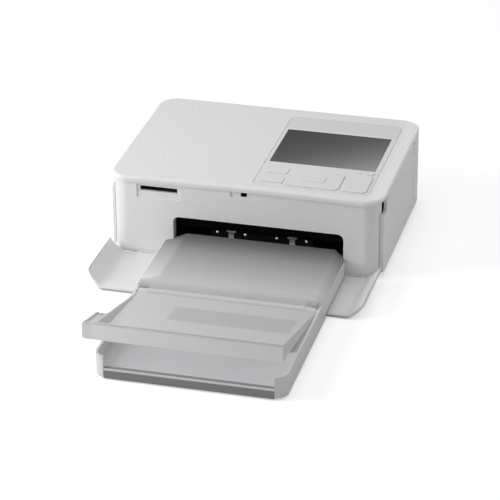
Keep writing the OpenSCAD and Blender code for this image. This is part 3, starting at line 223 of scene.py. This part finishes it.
def dimples_on(nt, vec, ranges):
    """Height of fine round dimples on upward faces.

    A range is (lo, hi, depth at lo, depth at hi): two places along X, in mm, and shares of the depth.
    """
    x = axis_of(nt, vec, "X")
    geometry = add(nt, "ShaderNodeNewGeometry")
    facing_up = remap(nt, axis_of(nt, geometry.outputs["Normal"], "Z"), 0.85, 0.97, 0, 1)
    cells = add(nt, "ShaderNodeTexVoronoi", feature="F1")
    cells.inputs["Scale"].default_value = 1 / DIMPLE_PITCH
    cells.inputs["Randomness"].default_value = 0.85
    nt.links.new(vec, cells.inputs["Vector"])
    dent = remap(nt, cells.outputs["Distance"], 0.10, 0.42, -1.0, 0.0)
    depths = [remap(nt, x, body_metres(lo, "X"), body_metres(hi, "X"), at_lo, at_hi)
              for lo, hi, at_lo, at_hi in ranges]
    deepest = depths[0]
    for depth in depths[1:]:
        deepest = math_node(nt, "MAXIMUM", deepest, depth)
    return times(nt, dent, deepest, facing_up)


def casing_material(name, dimples=None):
    """White satin plastic, with fine dimples where dimples gives ranges for them."""
    m, nt, b = new_material(name)
    vec = coords(nt)
    nt.links.new(cloudy(nt, vec, WHITE, 18, 2, 0.015, 0.012), b.inputs["Base Color"])
    vary_roughness(nt, b, noise(nt, vec, 150, 4), 0.40, 0.50)
    height = math_node(nt, "MULTIPLY", noise(nt, vec, 3000), 0.07)
    if dimples:
        height = math_node(nt, "ADD", height, dimples_on(nt, vec, dimples))
    b.inputs["Specular IOR Level"].default_value = 0.45
    bump(nt, b, height, 0.6, 0.00025)
    return m


def metal(name, colour, rough=0.3, brush=(1, 60, 1)):
    """Brushed metal, its fine lines drawn out along the axes that brush leaves at 1."""
    m, nt, b = new_material(name)
    stretch = add(nt, "ShaderNodeMapping")
    stretch.inputs["Scale"].default_value = brush
    nt.links.new(coords(nt), stretch.inputs["Vector"])
    lines = noise(nt, stretch.outputs[0], 300, 4)
    dark = tuple(c * 0.92 for c in colour)
    nt.links.new(mix_colour(nt, lines, dark, colour), b.inputs["Base Color"])
    b.inputs["Metallic"].default_value = 1
    vary_roughness(nt, b, lines, rough - 0.07, rough + 0.07)
    bump(nt, b, lines, 0.08, 0.0001)
    return m


def smoke(name, colour, shade=None):
    """Milky smoke-grey plastic. shade is (axis, lo, hi, stops): painted shade, a tone that changes along an
    axis, in mm.
    """
    m, nt, b = new_material(name)
    vec = coords(nt)
    tone = cloudy(nt, vec, colour, 25, 2, 0.02, 0.02)
    # painted shade: the colour is scaled along one axis by the ramp's greys
    if shade:
        axis, lo, hi, stops = shade
        place = axis_of(nt, vec, axis)
        tone = scaled_colour(nt, tone, ramp(nt, place, body_metres(lo, axis), body_metres(hi, axis), stops))
    nt.links.new(tone, b.inputs["Base Color"])
    vary_roughness(nt, b, noise(nt, vec, 60), 0.38, 0.46)
    bump(nt, b, noise(nt, vec, 3000), 0.05, 0.0002)
    return m


def screen_glass(name, x_range, y_range, stops):
    """Dark glass with a painted reflection that lightens it from the rear left corner to the front right
    one; ranges in mm.
    """
    m, nt, b = new_material(name)
    vec = coords(nt)
    across = remap(nt, axis_of(nt, vec, "X"), *[body_metres(x, "X") for x in x_range], 0, 0.5)
    forward = remap(nt, axis_of(nt, vec, "Y"), *[body_metres(y, "Y") for y in y_range], 0.5, 0)
    nt.links.new(ramp(nt, math_node(nt, "ADD", across, forward), 0, 1, stops), b.inputs["Base Color"])
    vary_roughness(nt, b, noise(nt, vec, 90, 3), 0.10, 0.16)
    b.inputs["Specular IOR Level"].default_value = 0.08
    bump(nt, b, noise(nt, vec, 700), 0.01, 0.0001)
    return m


# Marks on the materials. These stand for shade inside the body:
DARK_INSIDE = (0.008, 0.15, {"X": (-88, 88), "Y": (6.6, 130), "Z": (3.3, 54)})
PAPER_IN_BODY = (0.02, 1.0, {"Y": (3.5, 60)})
TRAY_IN_BODY = (0.02, 1.0, {"Y": (4, 60)})
# These are painted light and shade on the white casing and the panel:
# painted shade: the front panel's left corner, which faces the key light, is made a little darker
FRONT_LEFT_CORNER_PAINTED_SHADE = (0.94, 2.0, {"X": (-95, -81)})
# painted shadow: the flap's lowest 1.3 mm, where it meets the table, at less than half its colour
FLAP_UNDERSIDE_PAINTED_SHADOW = (0.45, 0.25, {"Z": (-1, 1.3)})
# painted light: the flap's flat right part made lighter than the cassette's shadow leaves it
FLAP_RIGHT_PAINTED_LIGHT = (1.07, 3.0, {"X": (62, 84)})
# painted light: the flap's left end made a little lighter
FLAP_LEFT_END_PAINTED_LIGHT = (1.06, 3.0, {"X": (-95, -82)})
# painted light: the top cover's right margin, far from the key light, made lighter
TOP_RIGHT_MARGIN_PAINTED_LIGHT = (1.12, 3.0, {"X": (82.5, 95), "Z": (53.5, 60)})
# painted shade: the rear of the control panel made darker
PANEL_REAR_PAINTED_SHADE = (0.91, 0.8, {"Y": (100.5, 140)})
# And these stand for light that comes through the milky cassette, or is held back by it:
COVER_LEFT_EDGE = (1.28, 1.6, {"X": (-60, -38.5), "Y": (-60, -4)})
COVER_RIGHT_EDGE = (1.15, 1.6, {"X": (61, 70), "Y": (-60, -4)})
LID_WINDOW = (0.84, 0.4, {"X": (-18, 59), "Y": (-116, -92)})
LID_FRONT_WALL = (1.30, 0.1, {"Y": (-164, -158.2)})
LID_EAR = (0.93, 0.3, {"X": (-60, -51.2), "Y": (-164, -130)})
TRAY_LEFT_RIM = (1.22, 0.1, {"X": (-50.8, -49.7), "Y": (-152, -60)})
TRAY_LEFT_SIDE = (0.93, 0.1, {"X": (-54, -51.0), "Y": (-165, 0)})
TRAY_FLOOR_LEFT = (1.16, 6.0, {"X": (-49.5, -32), "Y": (-159, -120), "Z": (0, 9)})
TRAY_RAIL_SHADE = (0.62, 0.1, {"Y": (-158.6, -158.2), "Z": (6.9, 8.6), "X": (-44, 60.6)})

# Where the top cover's dimples fade out and in again, as dimples_on takes it
TOP_DIMPLES = [(-52, -38, 1.0, 0.0), (81.5, 82.5, 0.0, 0.9)]

# One material for each slot of the record, then those that single nodes have instead
MATS = {
    "casing": casing_material("casing_white"),
    "panel": marked(plastic("panel_white", (0.75, 0.75, 0.76), rough=0.34, grain=2000, grain_depth=0.01,
                            spread=0.004), PANEL_REAR_PAINTED_SHADE),
    # painted reflection on the screen: its colour runs from 0.014 at the rear left to 0.36 at the front
    # right
    "screen": screen_glass("screen_black_painted_reflection", (6.5, 77.5), (45.5, 98.5),
                           [(0.0, 0.014), (0.45, 0.06), (0.75, 0.17), (1.0, 0.36)]),
    "smoke_plastic": smoke("smoke_plastic", (0.60, 0.60, 0.61)),
    # nearly black and dull: partly the inner parts' own dark plastic, partly painted shade for the dark
    # inside of the body
    "dark_plastic": plastic("dark_plastic", (0.006, 0.006, 0.007), rough=0.5, spread=0.1, specular=0.06),
    "grey_plastic": plastic("grey_plastic", (0.24, 0.24, 0.245), rough=0.42, spread=0.05),
    "gear_plastic": plastic("gear_plastic", (0.72, 0.70, 0.62), rough=0.4),
    "steel": metal("steel", (0.60, 0.60, 0.62)),
    # nearly black and dull: partly a dark finish of the inner frames, partly painted shade for the dark
    # inside of the body
    "dark_steel": plastic("dark_steel", (0.012, 0.012, 0.013), rough=0.55, grain=900, spread=0.2,
                          specular=0.06),
    "aluminium": metal("aluminium", (0.62, 0.63, 0.65), rough=0.35, brush=(40, 1, 1)),
    "brass": metal("brass", (0.55, 0.40, 0.14), rough=0.25),
    "rubber": plastic("rubber", (0.03, 0.03, 0.03), rough=0.7, grain=3000, grain_depth=0.3, spread=0.15),
    "roller_rubber": plastic("roller_rubber", (0.015, 0.015, 0.016), rough=0.6, grain=3000,
                             grain_depth=0.25, spread=0.1, specular=0.25),
    "circuit_board": plastic("circuit_board", (0.02, 0.10, 0.045), rough=0.35, spread=0.2),
    "film": plastic("film", (0.02, 0.02, 0.05), rough=0.2, spread=0.2),
    "paper": marked(plastic("paper", (0.80, 0.80, 0.79), rough=0.35, grain=1500, grain_depth=0.02,
                            spread=0.01, specular=0.2), PAPER_IN_BODY),
    "lamp": plastic("lamp", (0.50, 0.62, 0.52), rough=0.2, spread=0.02),
}
# the white casing with painted shade on its faces inside the body
CASING_INNER = marked(casing_material("casing_white_painted_shade_inside"), DARK_INSIDE)
# painted shade: the inner cover darkens towards the mouth, its colour scaled from 0.94 at Y -70 to 0.23 at Y
# 0
INNER_COVER = marked(
    smoke("smoke_inner_cover", (0.64, 0.64, 0.645),
          ("Y", -70, 0, [(0.0, 0.94), (0.35, 0.72), (0.7, 0.47), (1.0, 0.23)])),
    COVER_LEFT_EDGE, COVER_RIGHT_EDGE)
# painted shade: the lid darkens towards its right, its colour scaled from 1.0 at X -50 to 0.88 at X 66
OUTPUT_LID = marked(
    smoke("smoke_output_lid", (0.65, 0.65, 0.655), ("X", -50, 66, [(0.0, 1.0), (0.4, 0.92), (1.0, 0.88)])),
    LID_WINDOW, LID_FRONT_WALL, LID_EAR)
TRAY = marked(smoke("smoke_tray", (0.66, 0.66, 0.67)), TRAY_IN_BODY, TRAY_LEFT_RIM, TRAY_LEFT_SIDE,
              TRAY_FLOOR_LEFT, TRAY_RAIL_SHADE)
OWN_MATERIAL = {
    "base_tray": CASING_INNER, "left_cover": CASING_INNER, "rear_cover": CASING_INNER,
    "front_panel": marked(casing_material("casing_white_front"), FRONT_LEFT_CORNER_PAINTED_SHADE),
    "front_cover": marked(casing_material("casing_white_flap"), FLAP_UNDERSIDE_PAINTED_SHADOW, FLAP_RIGHT_PAINTED_LIGHT,
                          FLAP_LEFT_END_PAINTED_LIGHT),
    "top_cover": marked(casing_material("casing_white_dimpled", TOP_DIMPLES), TOP_RIGHT_MARGIN_PAINTED_LIGHT),
    "cassette_cover": INNER_COVER, "output_lid": OUTPUT_LID, "cassette_tray": TRAY,
}


def material_of(node):
    return OWN_MATERIAL.get(node) or MATS[SLOT[node]]


for node, obj in NODES.items():
    obj.data.materials.clear()
    obj.data.materials.append(material_of(node))


# ------------------------------------------------------------------ making pieces

SHARP_DEG = 35  # edges sharper than this stay sharp in the shading
BEVEL_DEG = 32  # and edges sharper than this are rounded by softened()
FLAT_DEG = 0.6  # faces closer to one plane than this are joined
WELD = 1e-6  # points closer than this, in metres, are one


def show(obj):
    bpy.context.scene.collection.objects.link(obj)


def new_piece(name, bm, node, *replaced):
    """A visible piece from a mesh, with the body and material of a node."""
    me = bpy.data.meshes.new(name)
    bm.to_mesh(me)
    bm.free()
    me.shade_smooth()
    me.set_sharp_from_angle(angle=math.radians(SHARP_DEG))
    me.materials.append(material_of(node))
    obj = bpy.data.objects.new(name, me)
    show(obj)
    even = obj.modifiers.new("even_normals", "WEIGHTED_NORMAL")
    even.keep_sharp = True
    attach(obj, BODY[node])
    if replaced:
        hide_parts(*replaced)
    return obj


def cad_shape(node):
    """The shape of a CAD node, each flat face in one piece."""
    bm = bmesh.new()
    bm.from_mesh(NODES[node].data)
    bmesh.ops.remove_doubles(bm, verts=bm.verts, dist=WELD)
    bmesh.ops.dissolve_limit(bm, angle_limit=math.radians(FLAT_DEG), verts=bm.verts, edges=bm.edges)
    return bm


def cut(bm, place, normal):
    """Splits a mesh's faces along a plane."""
    bmesh.ops.bisect_plane(bm, geom=bm.verts[:] + bm.edges[:] + bm.faces[:], dist=1e-7,
                           plane_co=place, plane_no=normal)


def softened(node, width):
    """A copy of a CAD node's shape whose sharp edges are rounded as a mould leaves them."""
    bm = cad_shape(node)
    bm.normal_update()
    sharp = [e for e in bm.edges
             if len(e.link_faces) == 2 and e.calc_face_angle(0) > math.radians(BEVEL_DEG)]
    bmesh.ops.bevel(bm, geom=sharp, offset=width, offset_type="OFFSET", segments=2,
                    profile=0.5, affect="EDGES", clamp_overlap=True)
    return new_piece(node + "_soft", bm, node, node)


def loft(rings):
    """A closed solid through two or more outlines that have the same number of points."""
    bm = bmesh.new()
    rings = [[bm.verts.new(p) for p in ring] for ring in rings]
    for a, b in zip(rings, rings[1:]):
        for i in range(len(a)):
            j = (i + 1) % len(a)
            bm.faces.new((a[i], a[j], b[j], b[i]))
    bm.faces.new(rings[0][::-1])
    bm.faces.new(rings[-1])
    bmesh.ops.recalc_face_normals(bm, faces=bm.faces)
    return bm


def bar(name, profile, x0, x1, node, *replaced):
    """A piece with a closed outline of (Y, Z) points in mm, drawn out along X."""
    bm = loft([[pt(x, y, z) for y, z in profile] for x in (x0, x1)])
    return new_piece(name, bm, node, *replaced)


def arc(centre, radius, start, step, count):
    """Points on a circle, from an angle on, in degrees."""
    angles = [math.radians(start + k * step) for k in range(count)]
    return [(centre[0] + radius * math.cos(a), centre[1] + radius * math.sin(a)) for a in angles]


# ------------------------------------------------------------------ pieces in place of CAD nodes

# The widest that the rounding of each node's edges may be, in metres. Blender narrows it over a whole
# node where two of its edges lie close together: on the rear cover, front panel, ink door, tray, paper
# guide, ribbon cassette, inner cover and output lid to far less, on the control panel to 0.00009.
SOFTENED = {
    "left_cover": 0.00015, "rear_cover": 0.00025, "front_panel": 0.00018, "ink_door": 0.0003,
    "control_panel": 0.0001, "menu_button": 0.0001, "back_button": 0.0001, "ok_button": 0.0002,
    "direction_pad": 0.0001, "print_button": 0.00015, "power_button": 0.00015,
    "cassette_tray": 0.0004, "cassette_cover": 0.0007, "output_lid": 0.0004, "thermal_head": 0.0002,
    "paper_guide": 0.0003, "guide_clips": 0.0002, "ribbon_bay": 0.0002, "ribbon_cassette": 0.0002,
}


def widen(mesh, by):
    """Moves the sides of a key outwards by so many metres, so that the gap round it shows less."""
    for axis in (0, 1):
        places = [v.co[axis] for v in mesh.vertices]
        middle = (min(places) + max(places)) / 2
        for v in mesh.vertices:
            v.co[axis] += math.copysign(by, v.co[axis] - middle)


def dressed_nodes():
    """The nodes whose edges are rounded, two keys of them widened."""
    key_growth = 0.0001
    pieces = {node: softened(node, width) for node, width in SOFTENED.items()}
    for node in ("menu_button", "back_button"):
        widen(pieces[node].data, key_growth)
    # The milky covers let the light through to what they hold, so they throw no shadow on it
    for node in ("cassette_cover", "output_lid"):
        pieces[node].visible_shadow = False


def front_cover():
    """The fold-down cover, whose turned-up ends thin towards their tops and whose edges are rounded."""
    half, foot, top, thinning, least_wall = 91, 3.2, 11.4, 1.7, 0.35
    # Points between the first two depths inside an end move outwards, less so over the last 3 mm
    outer_skin, deepest, fade = 0.9, 6, 3
    piece = softened("front_cover", 0.0005)
    for v in piece.data.vertices:
        x, z = v.co.x * 1000, v.co.z * 1000
        depth = half - abs(x)
        if z > foot and outer_skin < depth < deepest:
            shift = thinning * ((z - foot) / (top - foot)) ** 1.3 * min(1, (deepest - depth) / fade)
            v.co.x = math.copysign(min(abs(x) + shift, half - least_wall), v.co.x) / 1000


def bow_front(bm):
    """Curves the top cover's front edge back, most of all at its middle."""
    bow, reach, half = 1.8, 7, 91
    for x in range(-80, 81, 10):
        cut(bm, pt(x, 0, 0), (1, 0, 0))
    for v in bm.verts:
        y = v.co.y * 1000 - SHIFT
        if y < reach:
            share = 1 - (v.co.x * 1000 / half) ** 2
            fall = 1 - max(0, y) / reach
            v.co.y += bow / 1000 * share * fall


def crisp_right_edge(bm):
    """Pulls the round along the top cover's right edge out towards a sharper corner."""
    fade_deg = 50  # how far round the upright corners the sharper edge runs out
    inside, off_round = 0.01, 0.12  # how far within the round, and how near its surface, a point has to be
    centre_x, rear_y = HALF_WIDTH - CORNER_R, BODY_DEPTH - CORNER_R
    for y in (CORNER_R + 0.5, CORNER_R + 2, 40, 66, 93, rear_y - 0.5):
        cut(bm, pt(0, y, 0), (0, 1, 0))
    for v in bm.verts:
        x, y, z = v.co.x * 1000, v.co.y * 1000 - SHIFT, v.co.z * 1000
        if x <= centre_x:
            continue
        centre_y = min(max(y, CORNER_R), rear_y)
        along, across = x - centre_x, y - centre_y
        length = math.hypot(along, across)
        out, up = length - (CORNER_R - TOP_EDGE_R), z - (BODY_HEIGHT - TOP_EDGE_R)
        share = 1 - math.degrees(math.atan2(abs(across), along)) / fade_deg
        on_round = out > inside and up > inside and abs(math.hypot(out, up) - TOP_EDGE_R) < off_round
        if on_round and share > 0:
            power = 2 + 5 * share  # 2 leaves the round a circle, and more makes it squarer
            grow = ((out / TOP_EDGE_R) ** power + (up / TOP_EDGE_R) ** power) ** (-1 / power)
            stretch = (length + out * (grow - 1)) / length
            v.co.x = (centre_x + along * stretch) / 1000
            v.co.y = (centre_y + across * stretch + SHIFT) / 1000
            v.co.z = min(BODY_HEIGHT, BODY_HEIGHT - TOP_EDGE_R + up * grow) / 1000


def top_cover():
    """The top cover, with a bowed front edge and a crisp right one."""
    bm = cad_shape("top_cover")
    bow_front(bm)
    crisp_right_edge(bm)
    bm.normal_update()
    piece = new_piece("top_cover_bowed", bm, "top_cover", "top_cover")
    level = 0.9999
    for face in piece.data.polygons:
        if face.normal.z > level:
            face.use_smooth = False


def front_strip():
    """Grey strip across the cassette's front, with the light rail that runs along its top."""
    x0, x1, y = -44.3, 60.9, -160
    strip = [(y + 0.35, 0.5), (y, 0.85), (y, 5.75), (y + 0.3, 5.95), (y + 1.6, 5.95), (y + 1.6, 0.5)]
    rail = [(y + 0.1, 5.95), (y, 6.2), (y + 0.2, 6.85), (y + 0.6, 7.0), (y + 1.55, 7.0), (y + 1.55, 5.95)]
    bar("cassette_front_strip_grey", strip, x0, x1, "cassette_front_strip", "cassette_front_strip")
    bar("cassette_front_rail", rail, x0, x1, "cassette_tray")


# ------------------------------------------------------------------ pieces added to the frame

def milky(name, profile, x0, x1, node):
    bar(name, profile, x0, x1, node).visible_shadow = False


def cover_nose():
    """Rounded front edge of the cassette's inner cover, concentric with the lid's hinge line."""
    radius, thick = 3.3, 0.9
    outer = [(-65.6, 19.9), (-66.4, 19.6), (-67.1, 18.9), (-67.7, 17.6), (-68.2, 16.3)]
    inner = [(-65.6, 18.8), (-66.2, 18.5), (-66.6, 17.8), (-67.0, 16.8), (-67.5, 15.5)]
    outer += arc(LID_AXIS, radius, 62, 13, 10)
    inner += arc(LID_AXIS, radius - thick, 62, 13, 10)
    milky("cassette_cover_nose", outer + inner[::-1], -42.6, 58.6, "cassette_cover")


def cover_flanks():
    """The slope beside the nose, cut short so that the opened lid stays clear of it."""
    slope = [(-65.6, 19.9), (-66.4, 19.6), (-67.0, 18.9), (-67.4, 17.8), (-67.75, 16.4), (-67.8, 15.0),
             (-67.2, 15.0), (-67.1, 16.6), (-66.8, 17.6), (-66.3, 18.4), (-65.6, 18.8)]
    milky("cassette_cover_flank_left", slope, -49.2, -42.6, "cassette_cover")
    milky("cassette_cover_flank_right", slope, 58.6, 65.2, "cassette_cover")


def lid_crowns():
    """The lid's round over each of its knuckles, below the flanks, which turns with the lid."""
    y, z = LID_AXIS
    crown = arc(LID_AXIS, 2.9, 75, 13, 6) + [(y - 3.9, z + 2.15), (y - 3.9, z + 1.4)]
    crown += arc(LID_AXIS, 2.1, 75, 13, 6)[::-1]
    milky("output_lid_crown_left", crown, -49.0, -42.9, "output_lid")
    milky("output_lid_crown_right", crown, 58.9, 65.0, "output_lid")


def ear_fill():
    """Closes the latch ear of the output lid between its walls, a little below their tops."""
    # The lid's measures along and across its own sheet, as in the frame
    slope, length, wall_h, wall_start = math.radians(8.4), 90.57, 11.0, 4
    sheet_t, wall_t, ear_length = 1.5, 1.3, 26
    lap, foot, below_top = 0.1, 0.3, 1.5
    front, rear = wall_t - lap - length, ear_length - wall_t + lap - length

    def top(along):
        rise = (-wall_start - along) / (length - wall_start)
        return sheet_t + (wall_h - sheet_t) * rise - below_top

    corners = ((front, foot), (front, top(front)), (rear, top(rear)), (rear, foot))
    profile = [(LID_AXIS[0] + along * math.cos(slope) + height * math.sin(slope),
                LID_AXIS[1] - along * math.sin(slope) + height * math.cos(slope))
               for along, height in corners]
    milky("output_lid_ear_fill", profile, -57.5, -51.4, "output_lid")


def door_hinge_edge():
    """The ink door's rear edge between its hinge lugs, round about the hinge line."""
    profile = [(88.9, 103.6), (91.05, 103.6), (91.05, 106.3)] + arc(DOOR_AXIS, 1.38, 25, 17, 10)
    bm = loft([[pt(x, y, z) for x, y in profile] for z in (17.3, 39.9)])
    new_piece("ink_door_hinge_edge", bm, "ink_door")


def guide_screws():
    """Small bright screw heads on the paper guide, either side of its spring clips."""
    y, z, sides = 10.0, 19.6, 16
    outline = ((0.95, 0.0), (0.95, 0.35), (0.7, 0.6), (0.3, 0.68))  # radius and height of each ring
    for k, x in enumerate((-19.6, -0.8, 20.2, 40.0)):
        rings = [[pt(x + u, y - height, z + w) for u, w in arc((0, 0), r, 0, 360 / sides, sides)]
                 for r, height in outline]
        new_piece(f"guide_screw_{k + 1}", loft(rings), "guide_clips")


dressed_nodes()
front_cover()
top_cover()
cover_nose()
cover_flanks()
lid_crowns()
ear_fill()
door_hinge_edge()
front_strip()
guide_screws()


# ------------------------------------------------------------------ camera, light, floor

PICTURE_PX = 500
SENSOR_MM = 36
# Heading, height and roll of the camera, its focal length in pixels, and where the middle of the
# body's front edge lies as the camera sees it, in mm
AZ, EL, ROLL = map(math.radians, (14.68588, 26.67929, -0.30206))
FOCAL_PX = 2498.95
ORIGIN_SEEN = Vector((-4.58026, -12.25385, -1623.88880))


def camera():
    back = Vector((math.sin(AZ) * math.cos(EL), -math.cos(AZ) * math.cos(EL), math.sin(EL)))
    level_x = Vector((0, 0, 1)).cross(back).normalized()
    level_y = back.cross(level_x)
    right = math.cos(ROLL) * level_x + math.sin(ROLL) * level_y
    up = -math.sin(ROLL) * level_x + math.cos(ROLL) * level_y
    to_world = Matrix((right, up, back)).transposed()
    eye = to_world @ (-ORIGIN_SEEN)
    cam = bpy.data.objects.new("camera", bpy.data.cameras.new("camera"))
    cam.data.sensor_width = SENSOR_MM
    cam.data.lens = FOCAL_PX / PICTURE_PX * SENSOR_MM
    cam.data.clip_start = 0.05
    cam.data.clip_end = 20
    cam.matrix_world = Matrix.Translation(pt(*eye)) @ to_world.to_4x4()
    show(cam)
    bpy.context.scene.camera = cam


def area_light(name, place, aim, size, power):
    data = bpy.data.lights.new(name, "AREA")
    data.shape = "SQUARE"
    data.size = size
    data.energy = power
    obj = bpy.data.objects.new(name, data)
    obj.location = place
    obj.rotation_euler = (Vector(aim) - Vector(place)).to_track_quat("-Z", "Y").to_euler()
    show(obj)


def white_world(level):
    """Full white for camera, glossy and transmission rays, a plain level for the light itself."""
    world = bpy.data.worlds.new("studio")
    bpy.context.scene.world = world
    world.use_nodes = True
    nt = world.node_tree
    background = nt.nodes["Background"]
    background.inputs["Color"].default_value = (1, 1, 1, 1)
    ray = add(nt, "ShaderNodeLightPath").outputs
    seen = math_node(nt, "MAXIMUM", ray["Is Camera Ray"],
                     math_node(nt, "MAXIMUM", ray["Is Glossy Ray"], ray["Is Transmission Ray"]))
    nt.links.new(remap(nt, seen, 0, 1, level, 1.0), background.inputs["Strength"])


def white_floor(glow_level):
    """A pale matt floor just under the object, lifted to white for camera rays alone."""
    bm = bmesh.new()
    bmesh.ops.create_grid(bm, x_segments=1, y_segments=1, size=4)
    mesh = bpy.data.meshes.new("floor")
    bm.to_mesh(mesh)
    bm.free()
    floor = bpy.data.objects.new("floor", mesh)
    floor.location.z = -0.0002
    show(floor)
    m, nt, b = new_material("floor_white")
    b.inputs["Base Color"].default_value = (0.86, 0.86, 0.86, 1)
    b.inputs["Roughness"].default_value = 0.9
    b.inputs["Specular IOR Level"].default_value = 0.0
    glow = add(nt, "ShaderNodeEmission")
    lift = add(nt, "ShaderNodeAddShader")
    seen = add(nt, "ShaderNodeLightPath").outputs["Is Camera Ray"]
    nt.links.new(math_node(nt, "MULTIPLY", seen, glow_level), glow.inputs["Strength"])
    nt.links.new(b.outputs[0], lift.inputs[0])
    nt.links.new(glow.outputs[0], lift.inputs[1])
    nt.links.new(lift.outputs[0], nt.nodes["Material Output"].inputs[0])
    floor.data.materials.append(m)


camera()
area_light("key_left", place=(-0.55, -0.215, 0.30), aim=(0, 0.02, 0.02), size=0.35, power=2.75)
area_light("fill_right", place=(0.80, 0.40, 0.25), aim=(0, 0.05, 0.02), size=0.6, power=0.55)
area_light("top_soft", place=(0.0, 0.1, 0.95), aim=(0, 0, 0), size=0.9, power=2.25)
white_world(level=0.37)
white_floor(glow_level=0.45)
bpy.context.scene.view_settings.view_transform = "Standard"
